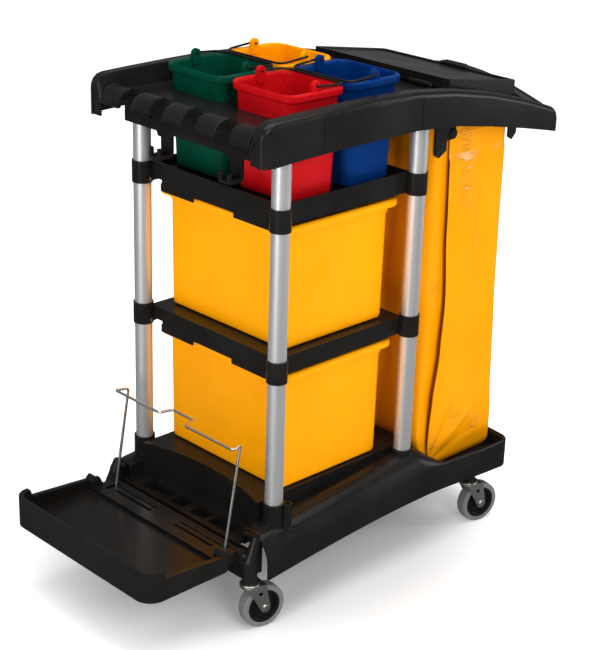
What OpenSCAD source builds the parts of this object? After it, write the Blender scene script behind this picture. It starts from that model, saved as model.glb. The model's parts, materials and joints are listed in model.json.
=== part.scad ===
// Janitor cart: a wheeled base with four posts, two shelves, two bins, four lift-out pails,
// a hung waste bag under a hinged lid, a hood with tool notches and a fold-down platform.
// Frame: +Z up, +X towards the bag, -X towards the platform, -Y is the left side.
// The origin is on the floor under the middle of the cart's length and width.

/* [Posts] */
// Distance between post centres along the cart
post_gap_x = 408; // [400:1:416]
// Distance between post centres across the cart
post_gap_y = 444; // [438:1:450]
// Outer diameter of a post
post_d = 40; // [36:1:42]
// Wall of a post
post_wall = 2.5; // [1.5:0.5:4]
// Gap between a post and the sockets and collars round it
post_clear = 0.15; // [0.1:0.05:0.3]
// Wall of a shelf collar
collar_wall = 3; // [2.5:0.5:4]

/* [Base] */
// Overall width of the base
base_w = 558; // [540:2:576]
// Height of the deck that the lower bin stands on
deck_z = 267; // [260:1:275]
// Fall of the side flanges from the back posts to the front end
flange_fall = 42; // [30:1:50]
// Radius of the rounded outer edge of the side flanges
flange_r = 62; // [50:1:66]
// Wall of the base
base_wall = 5; // [4:0.5:6]
// Front end of the side flanges, from the post middle
flange_front_x = -268; // [-272:1:-262]
// Rear end of the bag tray, from the post middle
tray_rear_x = 562; // [552:1:570]
// Height of the bag tray's rim at its rear end
tray_rim_z = 211; // [206:1:216]
// Height of the bag tray's floor
tray_floor_z = 176; // [172:1:180]
// Lower edge of the side skirts at the front end
skirt_front_z = 126; // [122:1:132]
// Lower edge of the side skirts at their arch
skirt_arch_z = 156; // [150:1:160]
// Lower edge of the side skirts at the rear end
skirt_rear_z = 139; // [134:1:146]
// Floor of the front well
well_z = 190; // [186:1:194]

/* [Casters] */
// Wheel diameter
wheel_d = 102; // [94:1:104]
// Wheel width
wheel_w = 30; // [26:1:32]
// Offset of the axle behind the swivel axis
trail = 30; // [26:1:34]
// Rest angle of every caster about its swivel axis
caster_turn = -12; // [-20:1:20]
// Swivel axis of the front casters, from the post middle
caster_front_x = -288; // [-292:1:-286]
// Swivel axis of the rear casters, from the post middle
caster_rear_x = 436; // [420:1:450]
// Swivel axes from the cart's centre line
caster_y = 241; // [239:1:246]
// Radius of a caster's stem
stem_r = 6; // [5:0.5:7]
// Radius of a wheel axle
axle_r = 4; // [3:0.5:5]

/* [Platform] */
// Outer end of the platform, from the post middle
platform_out_x = -568; // [-576:1:-558]
// Half width of the platform
platform_half_w = 240; // [234:1:244]
// Hinge axis of the platform, from the post middle
fold_x = -300; // [-302:1:-299]
// Height of the hinge axis
fold_z = 180; // [178:1:182]
// Radius of the hinge pins
fold_pin_r = 4; // [3:0.5:5]

/* [Wire rack] */
// Diameter of the wire
wire_d = 6.5; // [5:0.5:7]
// Height of the rack above its feet
wire_h = 239; // [225:1:245]
// Half distance between its legs
wire_leg_y = 190; // [184:1:191]

/* [Shelves and bins] */
// Height of a shelf collar
shelf_h = 50; // [44:1:54]
// Half length of a shelf
shelf_half_x = 192; // [189:1:194]
// Half width of a shelf
shelf_half_y = 210; // [206:1:212]
// Wall of a shelf
shelf_wall = 4; // [3:0.5:5]
// Height of a bin
bin_h = 281; // [260:1:290]
// Length of a bin along the cart, under its rim
bin_l = 310; // [296:1:318]
// Width of a bin across the cart, under its rim
bin_w = 380; // [366:1:386]
// Wall of a bin
bin_wall = 3; // [2.5:0.5:4]
// Space between a bin and the shelf over it
bin_headroom = 9; // [7:1:12]

/* [Pails] */
// Height of a pail to its rim
pail_h = 230; // [222:1:236]
// Length of a pail's rim along the cart
pail_l = 164; // [156:1:166]
// Width of a pail's rim across the cart
pail_w = 198; // [190:1:202]
// Wall of a pail
pail_wall = 2.5; // [2:0.5:3]
// Distance between pail centres along the cart
pail_gap_x = 172; // [168:1:176]
// Distance between pail centres across the cart
pail_gap_y = 209; // [207:1:212]
// Middle of the four pails, from the post middle
pail_mid_x = 5; // [0:1:8]
// Diameter of a pail's bail
bail_d = 5; // [4:0.5:6]

/* [Hood] */
// Width of the hood
hood_w = 559; // [553:2:569]
// Height of the hood's deck
hood_deck_z = 1100; // [1092:1:1108]
// Rise of the side rails over the deck
rail_rise = 41; // [34:1:46]
// Wall of the hood
hood_wall = 5; // [4:0.5:6]
// Front lip of the hood, from the post middle
hood_front_x = -306; // [-312:1:-302]
// Rear end of the hood, from the post middle
hood_rear_x = 611; // [604:1:620]
// Width of a tool notch
notch_w = 44; // [38:1:50]
// Distance between tool notches
notch_gap = 102; // [96:1:106]

/* [Lid and bag] */
// Front end of the lid, from the post middle
lid_front_x = 300; // [296:1:306]
// Length of the lid
lid_l = 245; // [236:1:250]
// Width of the lid
lid_w = 416; // [404:2:424]
// Wall of the lid
lid_wall = 3; // [2.5:0.5:4]
// Radius of the lid's hinge pins
lid_pin_r = 2.5; // [2:0.5:3]
// Wall of the bag
bag_wall = 3; // [2:0.5:4]

/* [Hidden] */
$fn = 64;

// Running gap round a pin, and gap under a piece that lifts or slides away
run_gap = 0.05;
seat_gap = 0.3;
// Overlap of walls that are moulded in one
weld = 2;

// The post middle sits here along X, so that the whole cart is centred on the origin
post_mid_x = -(platform_out_x + hood_rear_x) / 2;

// Signs of the four corners: [along, across]
front_left = [-1, -1];
front_right = [-1, 1];
rear_left = [1, -1];
rear_right = [1, 1];
corners = [front_left, front_right, rear_left, rear_right];

post_r = post_d / 2;
collar_r = post_r + post_clear + collar_wall;
shelf_floor_rise = 18;
tray_recess = 8;
middle_shelf_z = deck_z + bin_h + bin_headroom + shelf_h / 2;
upper_shelf_z = middle_shelf_z + shelf_floor_rise + bin_h + bin_headroom + shelf_h / 2;
pail_floor_z = upper_shelf_z + shelf_floor_rise - tray_recess;
pail_rim_z = pail_floor_z + seat_gap + pail_h;

flange_rear_z = deck_z - 2;
flange_front_z = flange_rear_z - flange_fall;
base_half = base_w / 2;
// Side flange's inner wall and the walls of the bin deck
flange_in_y = 195;
deck_half_y = 196;
deck_rear_x = 248;
// Side flanges sink to the tray's rim between these stations
sink_from_x = 222;
sink_to_x = 306;
tray_corner_r = 32;
socket_r = post_r + post_clear + 4;
socket_top_z = deck_z + 5;
socket_floor_z = well_z + 6;

axle_z = wheel_d / 2;
fork_plate_z = wheel_d + 3;
fork_plate_t = 3;
race_h = 5;
race_r = 22;
caster_top_z = fork_plate_z + fork_plate_t + seat_gap + race_h;
fork_gap = wheel_w + 4;
fork_t = 3;
column_r = 16;
column_top_z = flange_front_z - 3;
column_lean = 17;
column_tip_r = 9;
stem_top_z = caster_top_z + 45;
column_bend_z = stem_top_z + 8;
bush_wall = 3;
tyre_t = 12;

platform_in_x = fold_x - 4;
barrel_r = fold_pin_r + 6.5;
narrow_half_w = caster_y - column_r - 6;
neck_x = fold_x - 52;
pan_z = fold_z;
pan_t = 5;
platform_low_z = pan_z - 17;
strip_z = pan_z + 8;
platform_wall = 12;
wire_r = wire_d / 2;
foot_x = fold_x - 16;
foot_z = fold_z + 1;
slot_from_y = 40;
hand_slot_x = fold_x - 33;
hand_slot_y = 104;
hand_slot_l = 125;
hand_slot_w = 8;
hand_slot_deep = 6;

bail_r = bail_d / 2;
pivot_rise = 9;

lid_rise = 27;
lid_fall = 38;
lid_pitch = lid_fall / lid_l;
lid_top_z = hood_deck_z + lid_rise;
lid_hinge_x = lid_front_x - 9;
lid_hinge_z = hood_deck_z + 8;

function mix(a, b, t) = a + (b - a) * t;
function clamp01(t) = min(1, max(0, t));
function ease(t) = let (u = clamp01(t)) u * u * (3 - 2 * u);
function flat(lists) = [for (l = lists) each l];

// Top line of the side flanges and of the tray's rim
function base_top(x) =
    let (run = mix(flange_front_z, flange_rear_z, (x - flange_front_x) / (sink_from_x - flange_front_x)))
    let (rim = mix(tray_rim_z + 9, tray_rim_z, ease((x - sink_to_x) / 160)))
    mix(min(run, flange_rear_z), rim, ease((x - sink_from_x) / (sink_to_x - sink_from_x)));

// Lower line of the side skirts
function base_low(x) =
    x < sink_from_x
        ? mix(skirt_front_z, skirt_arch_z, sin(90 * (x - flange_front_x) / (sink_from_x - flange_front_x)))
        : mix(skirt_arch_z, skirt_rear_z, ease((x - sink_from_x) / (tray_rear_x - sink_from_x)));

// Share of a station that is thin tray rim instead of wide flange
function rim_share(x) = ease((x - sink_from_x) / (sink_to_x - sink_from_x));

// Outline of the rail's top: a rounded nose, a long crown and a falling tail
crown_k = 3.05e-4;
crown_to_x = 560;
tail_slope = 0.35;
nose_l = 34;
nose_drop = 26;
nose_in = 14;
front_fall = 4;
function rail_crest(x) =
    let (top = hood_deck_z + rail_rise)
    let (nose_x = hood_front_x + nose_l)
    let (fall = x < 0 ? front_fall * pow(x / nose_x, 2)
              : x < crown_to_x ? crown_k * x * x
              : crown_k * crown_to_x * crown_to_x + tail_slope * (x - crown_to_x))
    let (s = clamp01((nose_x - x) / nose_l))
    top - fall - nose_drop * (1 - sqrt(1 - s * s));

// Lower edge of the hood's side skirt
skirt_bend_x = 165;
function rail_low(x) =
    let (flat_z = hood_deck_z - 46)
    let (t = clamp01((x - skirt_bend_x) / (hood_rear_x - skirt_bend_x)))
    flat_z - 6 * (1 - ease((x - hood_front_x) / 200)) - 81 * pow(t, 1.3);

// A closed skin over rings of points, each ring anticlockwise as seen from the last ring's end.
// A strip is a ring whose second half runs back along its first, and its ends are closed rung by rung.
module loft(rings, strip = false) {
    n = len(rings[0]);
    m = len(rings);
    sides = [for (i = [0 : m - 2], j = [0 : n - 1])
             let (k = (j + 1) % n)
             each [[i * n + j, (i + 1) * n + j, (i + 1) * n + k], [i * n + j, (i + 1) * n + k, i * n + k]]];
    rungs = [for (j = [0 : n / 2 - 2]) [j, j + 1, n - 2 - j, n - 1 - j]];
    first = strip ? rungs : [[for (j = [0 : n - 1]) j]];
    last = [for (f = first) [for (j = [len(f) - 1 : -1 : 0]) (m - 1) * n + f[j]]];
    polyhedron(points = flat(rings), faces = concat(sides, first, last));
}

// Ring of a rounded rectangle at height z, with q steps in each corner
function box_ring(l, w, r, z, q) =
    [for (c = [0 : 3], i = [0 : q])
     let (a = 90 * c + 90 * i / q)
     let (sx = c == 0 || c == 3 ? 1 : -1)
     let (sy = c < 2 ? 1 : -1)
     [sx * (l / 2 - r) + r * cos(a), sy * (w / 2 - r) + r * sin(a), z]];

// An open vessel: levels climb the outside, pass the rim and go down the inside
module vessel(levels, q) {
    loft([for (v = levels) box_ring(v[0], v[1], v[2], v[3], q)]);
}

// Round tube along a path, with square-cut ends
function unit(v) = v / norm(v);
function path_dir(p, i) =
    i == 0 ? unit(p[1] - p[0])
    : i == len(p) - 1 ? unit(p[i] - p[i - 1])
    : unit(unit(p[i] - p[i - 1]) + unit(p[i + 1] - p[i]));
function carry(u, d) = unit(u - (u * d) * d);
function path_frames(p, u0, i = 0) =
    let (d = path_dir(p, i))
    let (u = carry(u0, d))
    i == len(p) - 1 ? [[u, cross(d, u)]] : concat([[u, cross(d, u)]], path_frames(p, u, i + 1));
module tube(path, r, sides, up) {
    frames = path_frames(path, up);
    loft([for (i = [0 : len(path) - 1])
          [for (j = [0 : sides - 1])
           let (a = 360 * j / sides)
           path[i] + r * (cos(a) * frames[i][0] + sin(a) * frames[i][1])]]);
}

// A path with each inner corner rounded to radius r in a few steps
function rounded_path(p, r, steps) =
    concat([p[0]],
           [for (i = [1 : len(p) - 2])
            let (a = unit(p[i - 1] - p[i]))
            let (b = unit(p[i + 1] - p[i]))
            let (half = acos(a * b) / 2)
            let (cut = r / tan(half))
            for (s = [0 : steps])
            let (t = s / steps)
            let (e = p[i] + cut * a)
            let (f = p[i] + cut * b)
            mix(mix(e, p[i], t), mix(p[i], f, t), t)],
           [p[len(p) - 1]]);

// Rounded rectangle in the plane, made of straight and round outlines
module round_rect(l, w, r) {
    square([l - 2 * r, w], center = true);
    square([l, w - 2 * r], center = true);
    for (s = corners)
        translate([s[0] * (l / 2 - r), s[1] * (w / 2 - r)]) circle(r = r);
}

// Side profile in X and Z, drawn out across the cart
module across(w) {
    rotate([90, 0, 0]) linear_extrude(height = w, center = true) children();
}

// Every sub-part is drawn from the post middle and moved into the cart's frame here
module placed(c) {
    color(c) translate([post_mid_x, 0, 0]) children();
}

plastic_black = "#22211f";
plastic_yellow = "#f7b10c";
pail_red = "#c01a1e";
pail_green = "#0a4a38";
pail_blue = "#0d3c7c";
vinyl_yellow = "#f0a508";
zinc = "#b9bab5";
alloy = "#c9cbce";
tyre_grey = "#75777c";

// Base: one moulding with side flanges, bin deck, front well and bag tray

corner_steps = 4;
rear_bow = 18;
// Stations round the skirt: [x of the section, outer point, outward direction]
flange_shares = [0, 0.06, 0.13, 0.3, 0.49, 0.67, 0.83, 0.93];
sink_steps = 6;
rim_shares = [0.1, 0.3, 0.6];
flange_xs = concat([for (t = flange_shares) mix(flange_front_x, sink_from_x, t)],
                   [for (i = [0 : sink_steps]) mix(sink_from_x, sink_to_x, i / sink_steps)],
                   [for (t = rim_shares) mix(sink_to_x, tray_rear_x - rear_bow - tray_corner_r, t)]);
function skirt_stations() =
    let (cx = tray_rear_x - rear_bow - tray_corner_r)
    let (cy = base_half - tray_corner_r)
    let (side = [for (x = flange_xs) [x, [x, -base_half], [0, -1]]])
    let (bend = [for (i = [0 : corner_steps])
                 let (a = -90 + 90 * i / corner_steps)
                 [cx, [cx + tray_corner_r * cos(a), -cy + tray_corner_r * sin(a)], [cos(a), sin(a)]]])
    let (back = [for (y = [-0.6 * cy, 0, 0.6 * cy])
                 [tray_rear_x, [tray_rear_x - rear_bow * pow(y / cy, 2), y], [1, 0]]])
    concat(side, bend, back,
           [for (i = [len(bend) - 1 : -1 : 0]) mirror_station(bend[i])],
           [for (i = [len(side) - 1 : -1 : 0]) mirror_station(side[i])]);
function mirror_station(s) = [s[0], [s[1][0], -s[1][1]], [s[2][0], -s[2][1]]];

// Section of the skirt in outward distance and height: an arch over the flange, open below
arc_steps = 7;
rim_t = 11;
function skirt_section(x) =
    let (s = rim_share(x))
    let (r = mix(flange_r, rim_t / 2, s))
    let (zt = base_top(x))
    let (zl = base_low(x))
    let (zi = mix(well_z - 8, tray_floor_z - 6, s))
    let (inner = mix(base_half - flange_in_y, rim_t, s))
    let (t = mix(base_wall, rim_t / 2 - 1.5, s))
    let (dip = mix(5, rim_t / 2, s))
    let (arc = [for (i = [0 : arc_steps]) 90 * i / arc_steps])
    concat([[0, zl]],
           [for (a = arc) [-r + r * cos(a), zt - r + r * sin(a)]],
           [[-inner, zt - dip], [-inner, zi], [-inner + t, zi], [-inner + t, zt - dip - t]],
           [for (i = [arc_steps : -1 : 0]) [-r + (r - t) * cos(arc[i]), zt - r + (r - t) * sin(arc[i])]],
           [[-t, zl]]);
function station_ring(s) =
    let (section = skirt_section(s[0]))
    [for (i = [len(section) - 1 : -1 : 0])
     [s[1][0] + section[i][0] * s[2][0], s[1][1] + section[i][0] * s[2][1], section[i][1]]];

module base_skirt() {
    loft([for (s = skirt_stations()) station_ring(s)], strip = true);
}

// Plan of the bin deck: its front edge is drawn back in an arc between the front posts
deck_front_x = -230;
deck_bow = 34;
deck_arc_r = (pow(deck_half_y, 2) + pow(deck_bow, 2)) / (2 * deck_bow);
module deck_plan(inset) {
    difference() {
        translate([deck_front_x - deck_bow, -deck_half_y + inset])
            square([deck_rear_x - inset - deck_front_x + deck_bow, 2 * (deck_half_y - inset)]);
        translate([deck_front_x + deck_bow - deck_arc_r, 0])
            circle(r = deck_arc_r + inset, $fn = 128);
    }
}

module bin_deck() {
    deck_low_z = tray_floor_z - 3;
    difference() {
        translate([0, 0, deck_low_z]) linear_extrude(deck_z - deck_low_z) deck_plan(0);
        translate([0, 0, deck_low_z - 1])
            linear_extrude(deck_z - base_wall - deck_low_z + 1) deck_plan(base_wall);
    }
}

// Front well with its four pockets, and the apron under it
apron_x = fold_x + barrel_r + 3;
apron_low_z = wheel_d + 7;
pocket_depth = 22;
pockets = [[64, 147], [5, 46], [-68, -21], [-154, -81]];
pocket_from_x = apron_x + 14;
pocket_l = 38;
module front_well() {
    well_half_y = flange_in_y + weld;
    difference() {
        union() {
            translate([apron_x, -well_half_y, well_z - base_wall])
                cube([deck_front_x + deck_bow + base_wall / 2 - apron_x, 2 * well_half_y, base_wall]);
            translate([pocket_from_x - 4, pockets[3][0] - 4, well_z - pocket_depth - 3])
                cube([pocket_l + 8, pockets[0][1] - pockets[3][0] + 8, pocket_depth]);
        }
        for (p = pockets)
            translate([pocket_from_x, p[0], well_z - pocket_depth])
                cube([pocket_l, p[1] - p[0], pocket_depth + 1]);
    }
    outer = caster_y;
    inner = caster_y - race_r - 5;
    step_z = caster_top_z + 2;
    translate([apron_x, 0, 0]) rotate([90, 0, 90]) linear_extrude(base_wall)
        polygon([[-outer, well_z - 1], [-outer, step_z], [-inner, step_z], [-inner, apron_low_z],
                 [inner, apron_low_z], [inner, step_z], [outer, step_z], [outer, well_z - 1]]);
}

// Columns that take the caster stems, and the lugs of the platform's hinge on the front ones
module caster_columns() {
    for (s = corners) {
        x = s[0] < 0 ? caster_front_x : caster_rear_x;
        top_z = s[0] < 0 ? column_bend_z : tray_floor_z - 1;
        translate([x, s[1] * caster_y, caster_top_z]) cylinder(r = column_r, h = top_z - caster_top_z);
    }
    for (side = [-1, 1]) {
        translate([caster_front_x, side * caster_y, 0]) hull() {
            translate([0, 0, column_bend_z - 2]) cylinder(r = column_r, h = 2, $fn = 32);
            translate([column_lean, 0, column_top_z - 2]) cylinder(r = column_tip_r, h = 2, $fn = 32);
        }
        translate([caster_front_x + 9, side * (caster_y - 21) - 13, column_top_z - 8])
            cube([flange_front_x + 11 - caster_front_x, 26, 7.5]);
        translate([caster_front_x + 6, side * (caster_y - 3) - 2, caster_top_z + 12])
            cube([flange_front_x + 16 - caster_front_x - 6, 4, column_top_z - caster_top_z - 16]);
        lug_t = 14;
        hull() {
            translate([fold_x, side * (narrow_half_w + 1 + lug_t / 2), fold_z])
                rotate([90, 0, 0]) cylinder(r = barrel_r + 1, h = lug_t, center = true, $fn = 32);
            translate([caster_front_x - 2, side * (narrow_half_w + 1 + lug_t / 2), fold_z - 14])
                cube([4, lug_t, 50], center = true);
        }
    }
}

module post_sockets() {
    for (s = corners)
        translate([s[0] * post_gap_x / 2, s[1] * post_gap_y / 2, well_z])
            cylinder(r = socket_r, h = socket_top_z - well_z);
}

// Small open tubes beside the front posts, for the handles of tools
tool_tube_bore_r = 6.5;
tool_tube_r = 9.5;
tool_tube_low_z = flange_front_z - 12;
tool_tube_floor_z = flange_front_z + 2;
tool_tube_l = socket_top_z + 3 - tool_tube_low_z;
tool_tube_x = -post_gap_x / 2 + 14;
tool_tube_y = post_gap_y / 2 + 29;
module tool_tubes() {
    for (side = [-1, 1]) {
        translate([tool_tube_x, side * tool_tube_y, tool_tube_low_z])
            cylinder(r = tool_tube_r, h = tool_tube_l);
        translate([tool_tube_x - 12, side * (tool_tube_y - 12) - 6, tool_tube_low_z])
            cube([12, 12, tool_tube_l - 12]);
    }
}

module tray_floor() {
    half = base_half - rim_t / 2;
    from_x = deck_rear_x - base_wall / 2 - 2;
    edge = [for (s = skirt_stations()) if (s[1][0] > deck_rear_x) s[1] - s[2] * rim_t / 2];
    translate([0, 0, tray_floor_z - 4]) linear_extrude(4)
        polygon(concat([[from_x, -half]], edge, [[from_x, half]]));
}

module base() {
    placed(plastic_black)
    difference() {
        union() {
            base_skirt();
            bin_deck();
            front_well();
            caster_columns();
            post_sockets();
            tool_tubes();
            tray_floor();
        }
        for (s = corners) {
            translate([s[0] * post_gap_x / 2, s[1] * post_gap_y / 2, socket_floor_z])
                cylinder(r = post_r + post_clear, h = socket_top_z);
            x = s[0] < 0 ? caster_front_x : caster_rear_x;
            translate([x, s[1] * caster_y, caster_top_z - 1])
                cylinder(r = stem_r + run_gap, h = stem_top_z - caster_top_z + 2);
        }
        for (side = [-1, 1]) {
            translate([fold_x, side * (narrow_half_w + 10), fold_z])
                rotate([90, 0, 0]) cylinder(r = fold_pin_r + run_gap, h = 30, center = true);
            translate([tool_tube_x, side * tool_tube_y, tool_tube_floor_z])
                cylinder(r = tool_tube_bore_r, h = tool_tube_l);
        }
    }
}

// Casters: a stem with its race, a stamped fork, an axle, a bush, a hub and a tyre

module at_caster(s) {
    x = s[0] < 0 ? caster_front_x : caster_rear_x;
    translate([x, s[1] * caster_y, 0]) rotate([0, 0, caster_turn]) children();
}
module at_axle(s) {
    at_caster(s) translate([trail, 0, axle_z]) rotate([90, 0, 0]) children();
}

module caster_stem(s) {
    placed(zinc)
    at_caster(s) {
        head_z = fork_plate_z - seat_gap - 5;
        translate([0, 0, head_z]) cylinder(r = stem_r, h = stem_top_z - head_z);
        translate([0, 0, head_z]) cylinder(r = stem_r + 4, h = 5, $fn = 6);
        translate([0, 0, caster_top_z - race_h])
            rotate_extrude()
                polygon([[0, 0], [race_r - 2, 0], [race_r, 2],
                         [race_r, race_h - 1], [race_r - 1, race_h], [0, race_h]]);
    }
}

module fork_leg() {
    rotate([90, 0, 0]) linear_extrude(height = fork_t, center = true)
        hull() {
            translate([trail, axle_z]) circle(r = 12, $fn = 32);
            translate([-15, fork_plate_z]) square([46, fork_plate_t]);
        }
}

module caster_fork(s) {
    placed(zinc)
    at_caster(s)
    difference() {
        leg_y = (fork_gap + fork_t) / 2;
        union() {
            translate([0, 0, fork_plate_z]) cylinder(r = 22, h = fork_plate_t);
            translate([-15, -leg_y - fork_t / 2, fork_plate_z])
                cube([46, 2 * leg_y + fork_t, fork_plate_t]);
            for (side = [-1, 1]) translate([0, side * leg_y, 0]) fork_leg();
        }
        translate([0, 0, fork_plate_z - 1]) cylinder(r = stem_r + run_gap, h = fork_plate_t + 2);
        translate([trail, 0, axle_z]) rotate([90, 0, 0])
            cylinder(r = axle_r + run_gap, h = 2 * leg_y + 20, center = true);
        translate([13, -leg_y - 5, fork_plate_z - 22]) cube([9, 2 * leg_y + 10, 9]);
    }
}

module caster_axle(s) {
    placed(zinc)
    at_axle(s) {
        half = fork_gap / 2 + fork_t;
        cylinder(r = axle_r, h = 2 * half + 4, center = true);
        for (side = [-1, 1])
            translate([0, 0, side * (half + 1.5)]) cylinder(r = axle_r + 2.5, h = 3, center = true);
    }
}

hub_bore_r = axle_r + bush_wall;
hub_r = wheel_d / 2 - tyre_t;
fit_gap = 0.02;
module caster_bush(s) {
    placed(zinc)
    at_axle(s)
    difference() {
        cylinder(r = hub_bore_r, h = fork_gap - 2 * seat_gap, center = true);
        cylinder(r = axle_r + run_gap, h = fork_gap + 2, center = true);
    }
}

module wheel_hub(s) {
    placed(plastic_black)
    at_axle(s)
    rotate_extrude()
        let (h = wheel_w / 2, b = hub_bore_r + fit_gap)
        polygon([[b, -h], [b + 7, -h], [b + 8, -5], [hub_r - 8, -5], [hub_r - 6, -h + 3], [hub_r, -h + 2],
                 [hub_r, h - 2], [hub_r - 6, h - 3], [hub_r - 8, 5], [b + 8, 5], [b + 7, h], [b, h]]);
}

module tyre(s) {
    placed(tyre_grey)
    at_axle(s)
    rotate_extrude()
        let (h = wheel_w / 2, r = wheel_d / 2, i = hub_r + fit_gap, e = 6)
        polygon(concat([[i, -h + 1]],
                       [for (a = [-90 : 15 : 0]) [r - e + e * cos(a), -h + e + e * sin(a)]],
                       [for (a = [0 : 15 : 90]) [r - e + e * cos(a), h - e + e * sin(a)]],
                       [[i, h - 1]]));
}

// Platform: a fold-down pan with a raised strip that holds the rack's feet

lip_z = pan_z + 52;
strip_x = neck_x - 14;
platform_corner_r = 40;
module platform_plan(inset) {
    l = neck_x - platform_out_x;
    translate([platform_out_x + l / 2, 0]) {
        round_rect(l - 2 * inset, 2 * (platform_half_w - inset), platform_corner_r - inset);
        translate([l / 4, 0]) square([l / 2 - 2 * inset, 2 * (platform_half_w - inset)], center = true);
        square([l / 2, 2 * (platform_half_w - inset)], center = true);
    }
}
module platform_walls() {
    side_z = pan_z + 22;
    ear_z = pan_z + 31;
    intersection() {
        translate([0, 0, platform_low_z])
            linear_extrude(lip_z - platform_low_z) {
                platform_plan(0);
                translate([neck_x - 20, -narrow_half_w])
                    square([platform_in_x - neck_x + 20, 2 * narrow_half_w]);
            }
        across(2 * platform_half_w + 2)
            polygon([[platform_out_x - 1, platform_low_z], [platform_in_x, platform_low_z],
                     [platform_in_x, strip_z], [neck_x + 17, strip_z], [neck_x + 9, ear_z - 8],
                     [neck_x + 5, ear_z], [neck_x - 5, ear_z], [neck_x - 14, side_z],
                     [platform_out_x + 48, side_z + 12], [platform_out_x + 44, lip_z - 2],
                     [platform_out_x + 42, lip_z], [platform_out_x + 3, lip_z],
                     [platform_out_x, lip_z - 4], [platform_out_x - 1, lip_z - 8]]);
    }
}

// Open cells under the pan, between its ribs
rib_t = 4;
module pan_cells() {
    from_x = platform_out_x + platform_wall;
    cell_x = (strip_x - from_x) / 3;
    cell_y = (2 * platform_half_w - 2 * platform_wall) / 4;
    for (i = [0 : 2], j = [0 : 3])
        translate([from_x + i * cell_x + rib_t / 2, (j - 2) * cell_y + rib_t / 2, platform_low_z - 1])
            cube([cell_x - rib_t, cell_y - rib_t, pan_z - pan_t - platform_low_z + 1]);
}

module platform() {
    placed(plastic_black)
    difference() {
        union() {
            platform_walls();
            translate([fold_x, 0, fold_z]) rotate([90, 0, 0])
                cylinder(r = barrel_r, h = 2 * narrow_half_w, center = true);
        }
        translate([0, 0, pan_z]) linear_extrude(lip_z)
            difference() {
                platform_plan(platform_wall);
                translate([strip_x, -platform_half_w]) square([100, 2 * platform_half_w]);
            }
        translate([strip_x - 1, -narrow_half_w + 9, strip_z])
            cube([60, 2 * (narrow_half_w - 9), lip_z]);
        pan_cells();
        for (side = [-1, 1]) {
            translate([fold_x, side * (narrow_half_w - 7), fold_z])
                rotate([90, 0, 0]) cylinder(r = fold_pin_r + run_gap, h = 30, center = true);
            foot_l = wire_leg_y + 6 - slot_from_y;
            translate([foot_x, side * (slot_from_y + foot_l / 2), foot_z])
                rotate([90, 0, 0]) cylinder(r = wire_r + run_gap, h = foot_l, center = true);
            slot_l = wire_leg_y - 4 - slot_from_y;
            translate([foot_x, side * (slot_from_y + slot_l / 2), strip_z])
                cube([wire_d - 1, slot_l, 2 * (strip_z - foot_z)], center = true);
            translate([hand_slot_x, side * hand_slot_y, strip_z])
                cube([hand_slot_w, hand_slot_l, 2 * hand_slot_deep], center = true);
            translate([foot_x - 28, side * wire_leg_y - wire_r - 2, foot_z - wire_r - 1])
                cube([38, wire_d + 4, 40]);
        }
    }
}

module platform_hinge_pins() {
    placed(zinc)
    for (side = [-1, 1])
        translate([fold_x, side * (narrow_half_w + 1), fold_z])
            rotate([90, 0, 0]) cylinder(r = fold_pin_r, h = 28, center = true);
}

// Wire rack that swings in the platform's strip
rack_lean = 41;
rack_hook = 30;
rack_bar_y = wire_leg_y + 10;
jog_half_y = 36;
jog_depth = 32;
module wire_rack() {
    top_x = foot_x + rack_lean;
    bar_x = top_x - rack_hook;
    top_z = foot_z + wire_h;
    half = [[foot_x, slot_from_y + 8, foot_z], [foot_x, wire_leg_y, foot_z], [top_x, wire_leg_y, top_z],
            [bar_x, rack_bar_y, top_z + 1], [bar_x, jog_half_y + 8, top_z + 1],
            [bar_x + jog_depth, jog_half_y, top_z + 1]];
    other = [for (i = [len(half) - 1 : -1 : 0]) [half[i][0], -half[i][1], half[i][2]]];
    placed(zinc) tube(rounded_path(concat(half, other), 6, 4), wire_r, 10, [1, 0, 0]);
}

// Posts and shelves

hood_socket_z = hood_deck_z - 50;
post_top_z = hood_deck_z - hood_wall - 3;
module post(s) {
    placed(alloy)
    translate([s[0] * post_gap_x / 2, s[1] * post_gap_y / 2, socket_floor_z])
    difference() {
        cylinder(r = post_r, h = post_top_z - socket_floor_z);
        translate([0, 0, -1]) cylinder(r = post_r - post_wall, h = post_top_z);
    }
}

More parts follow.
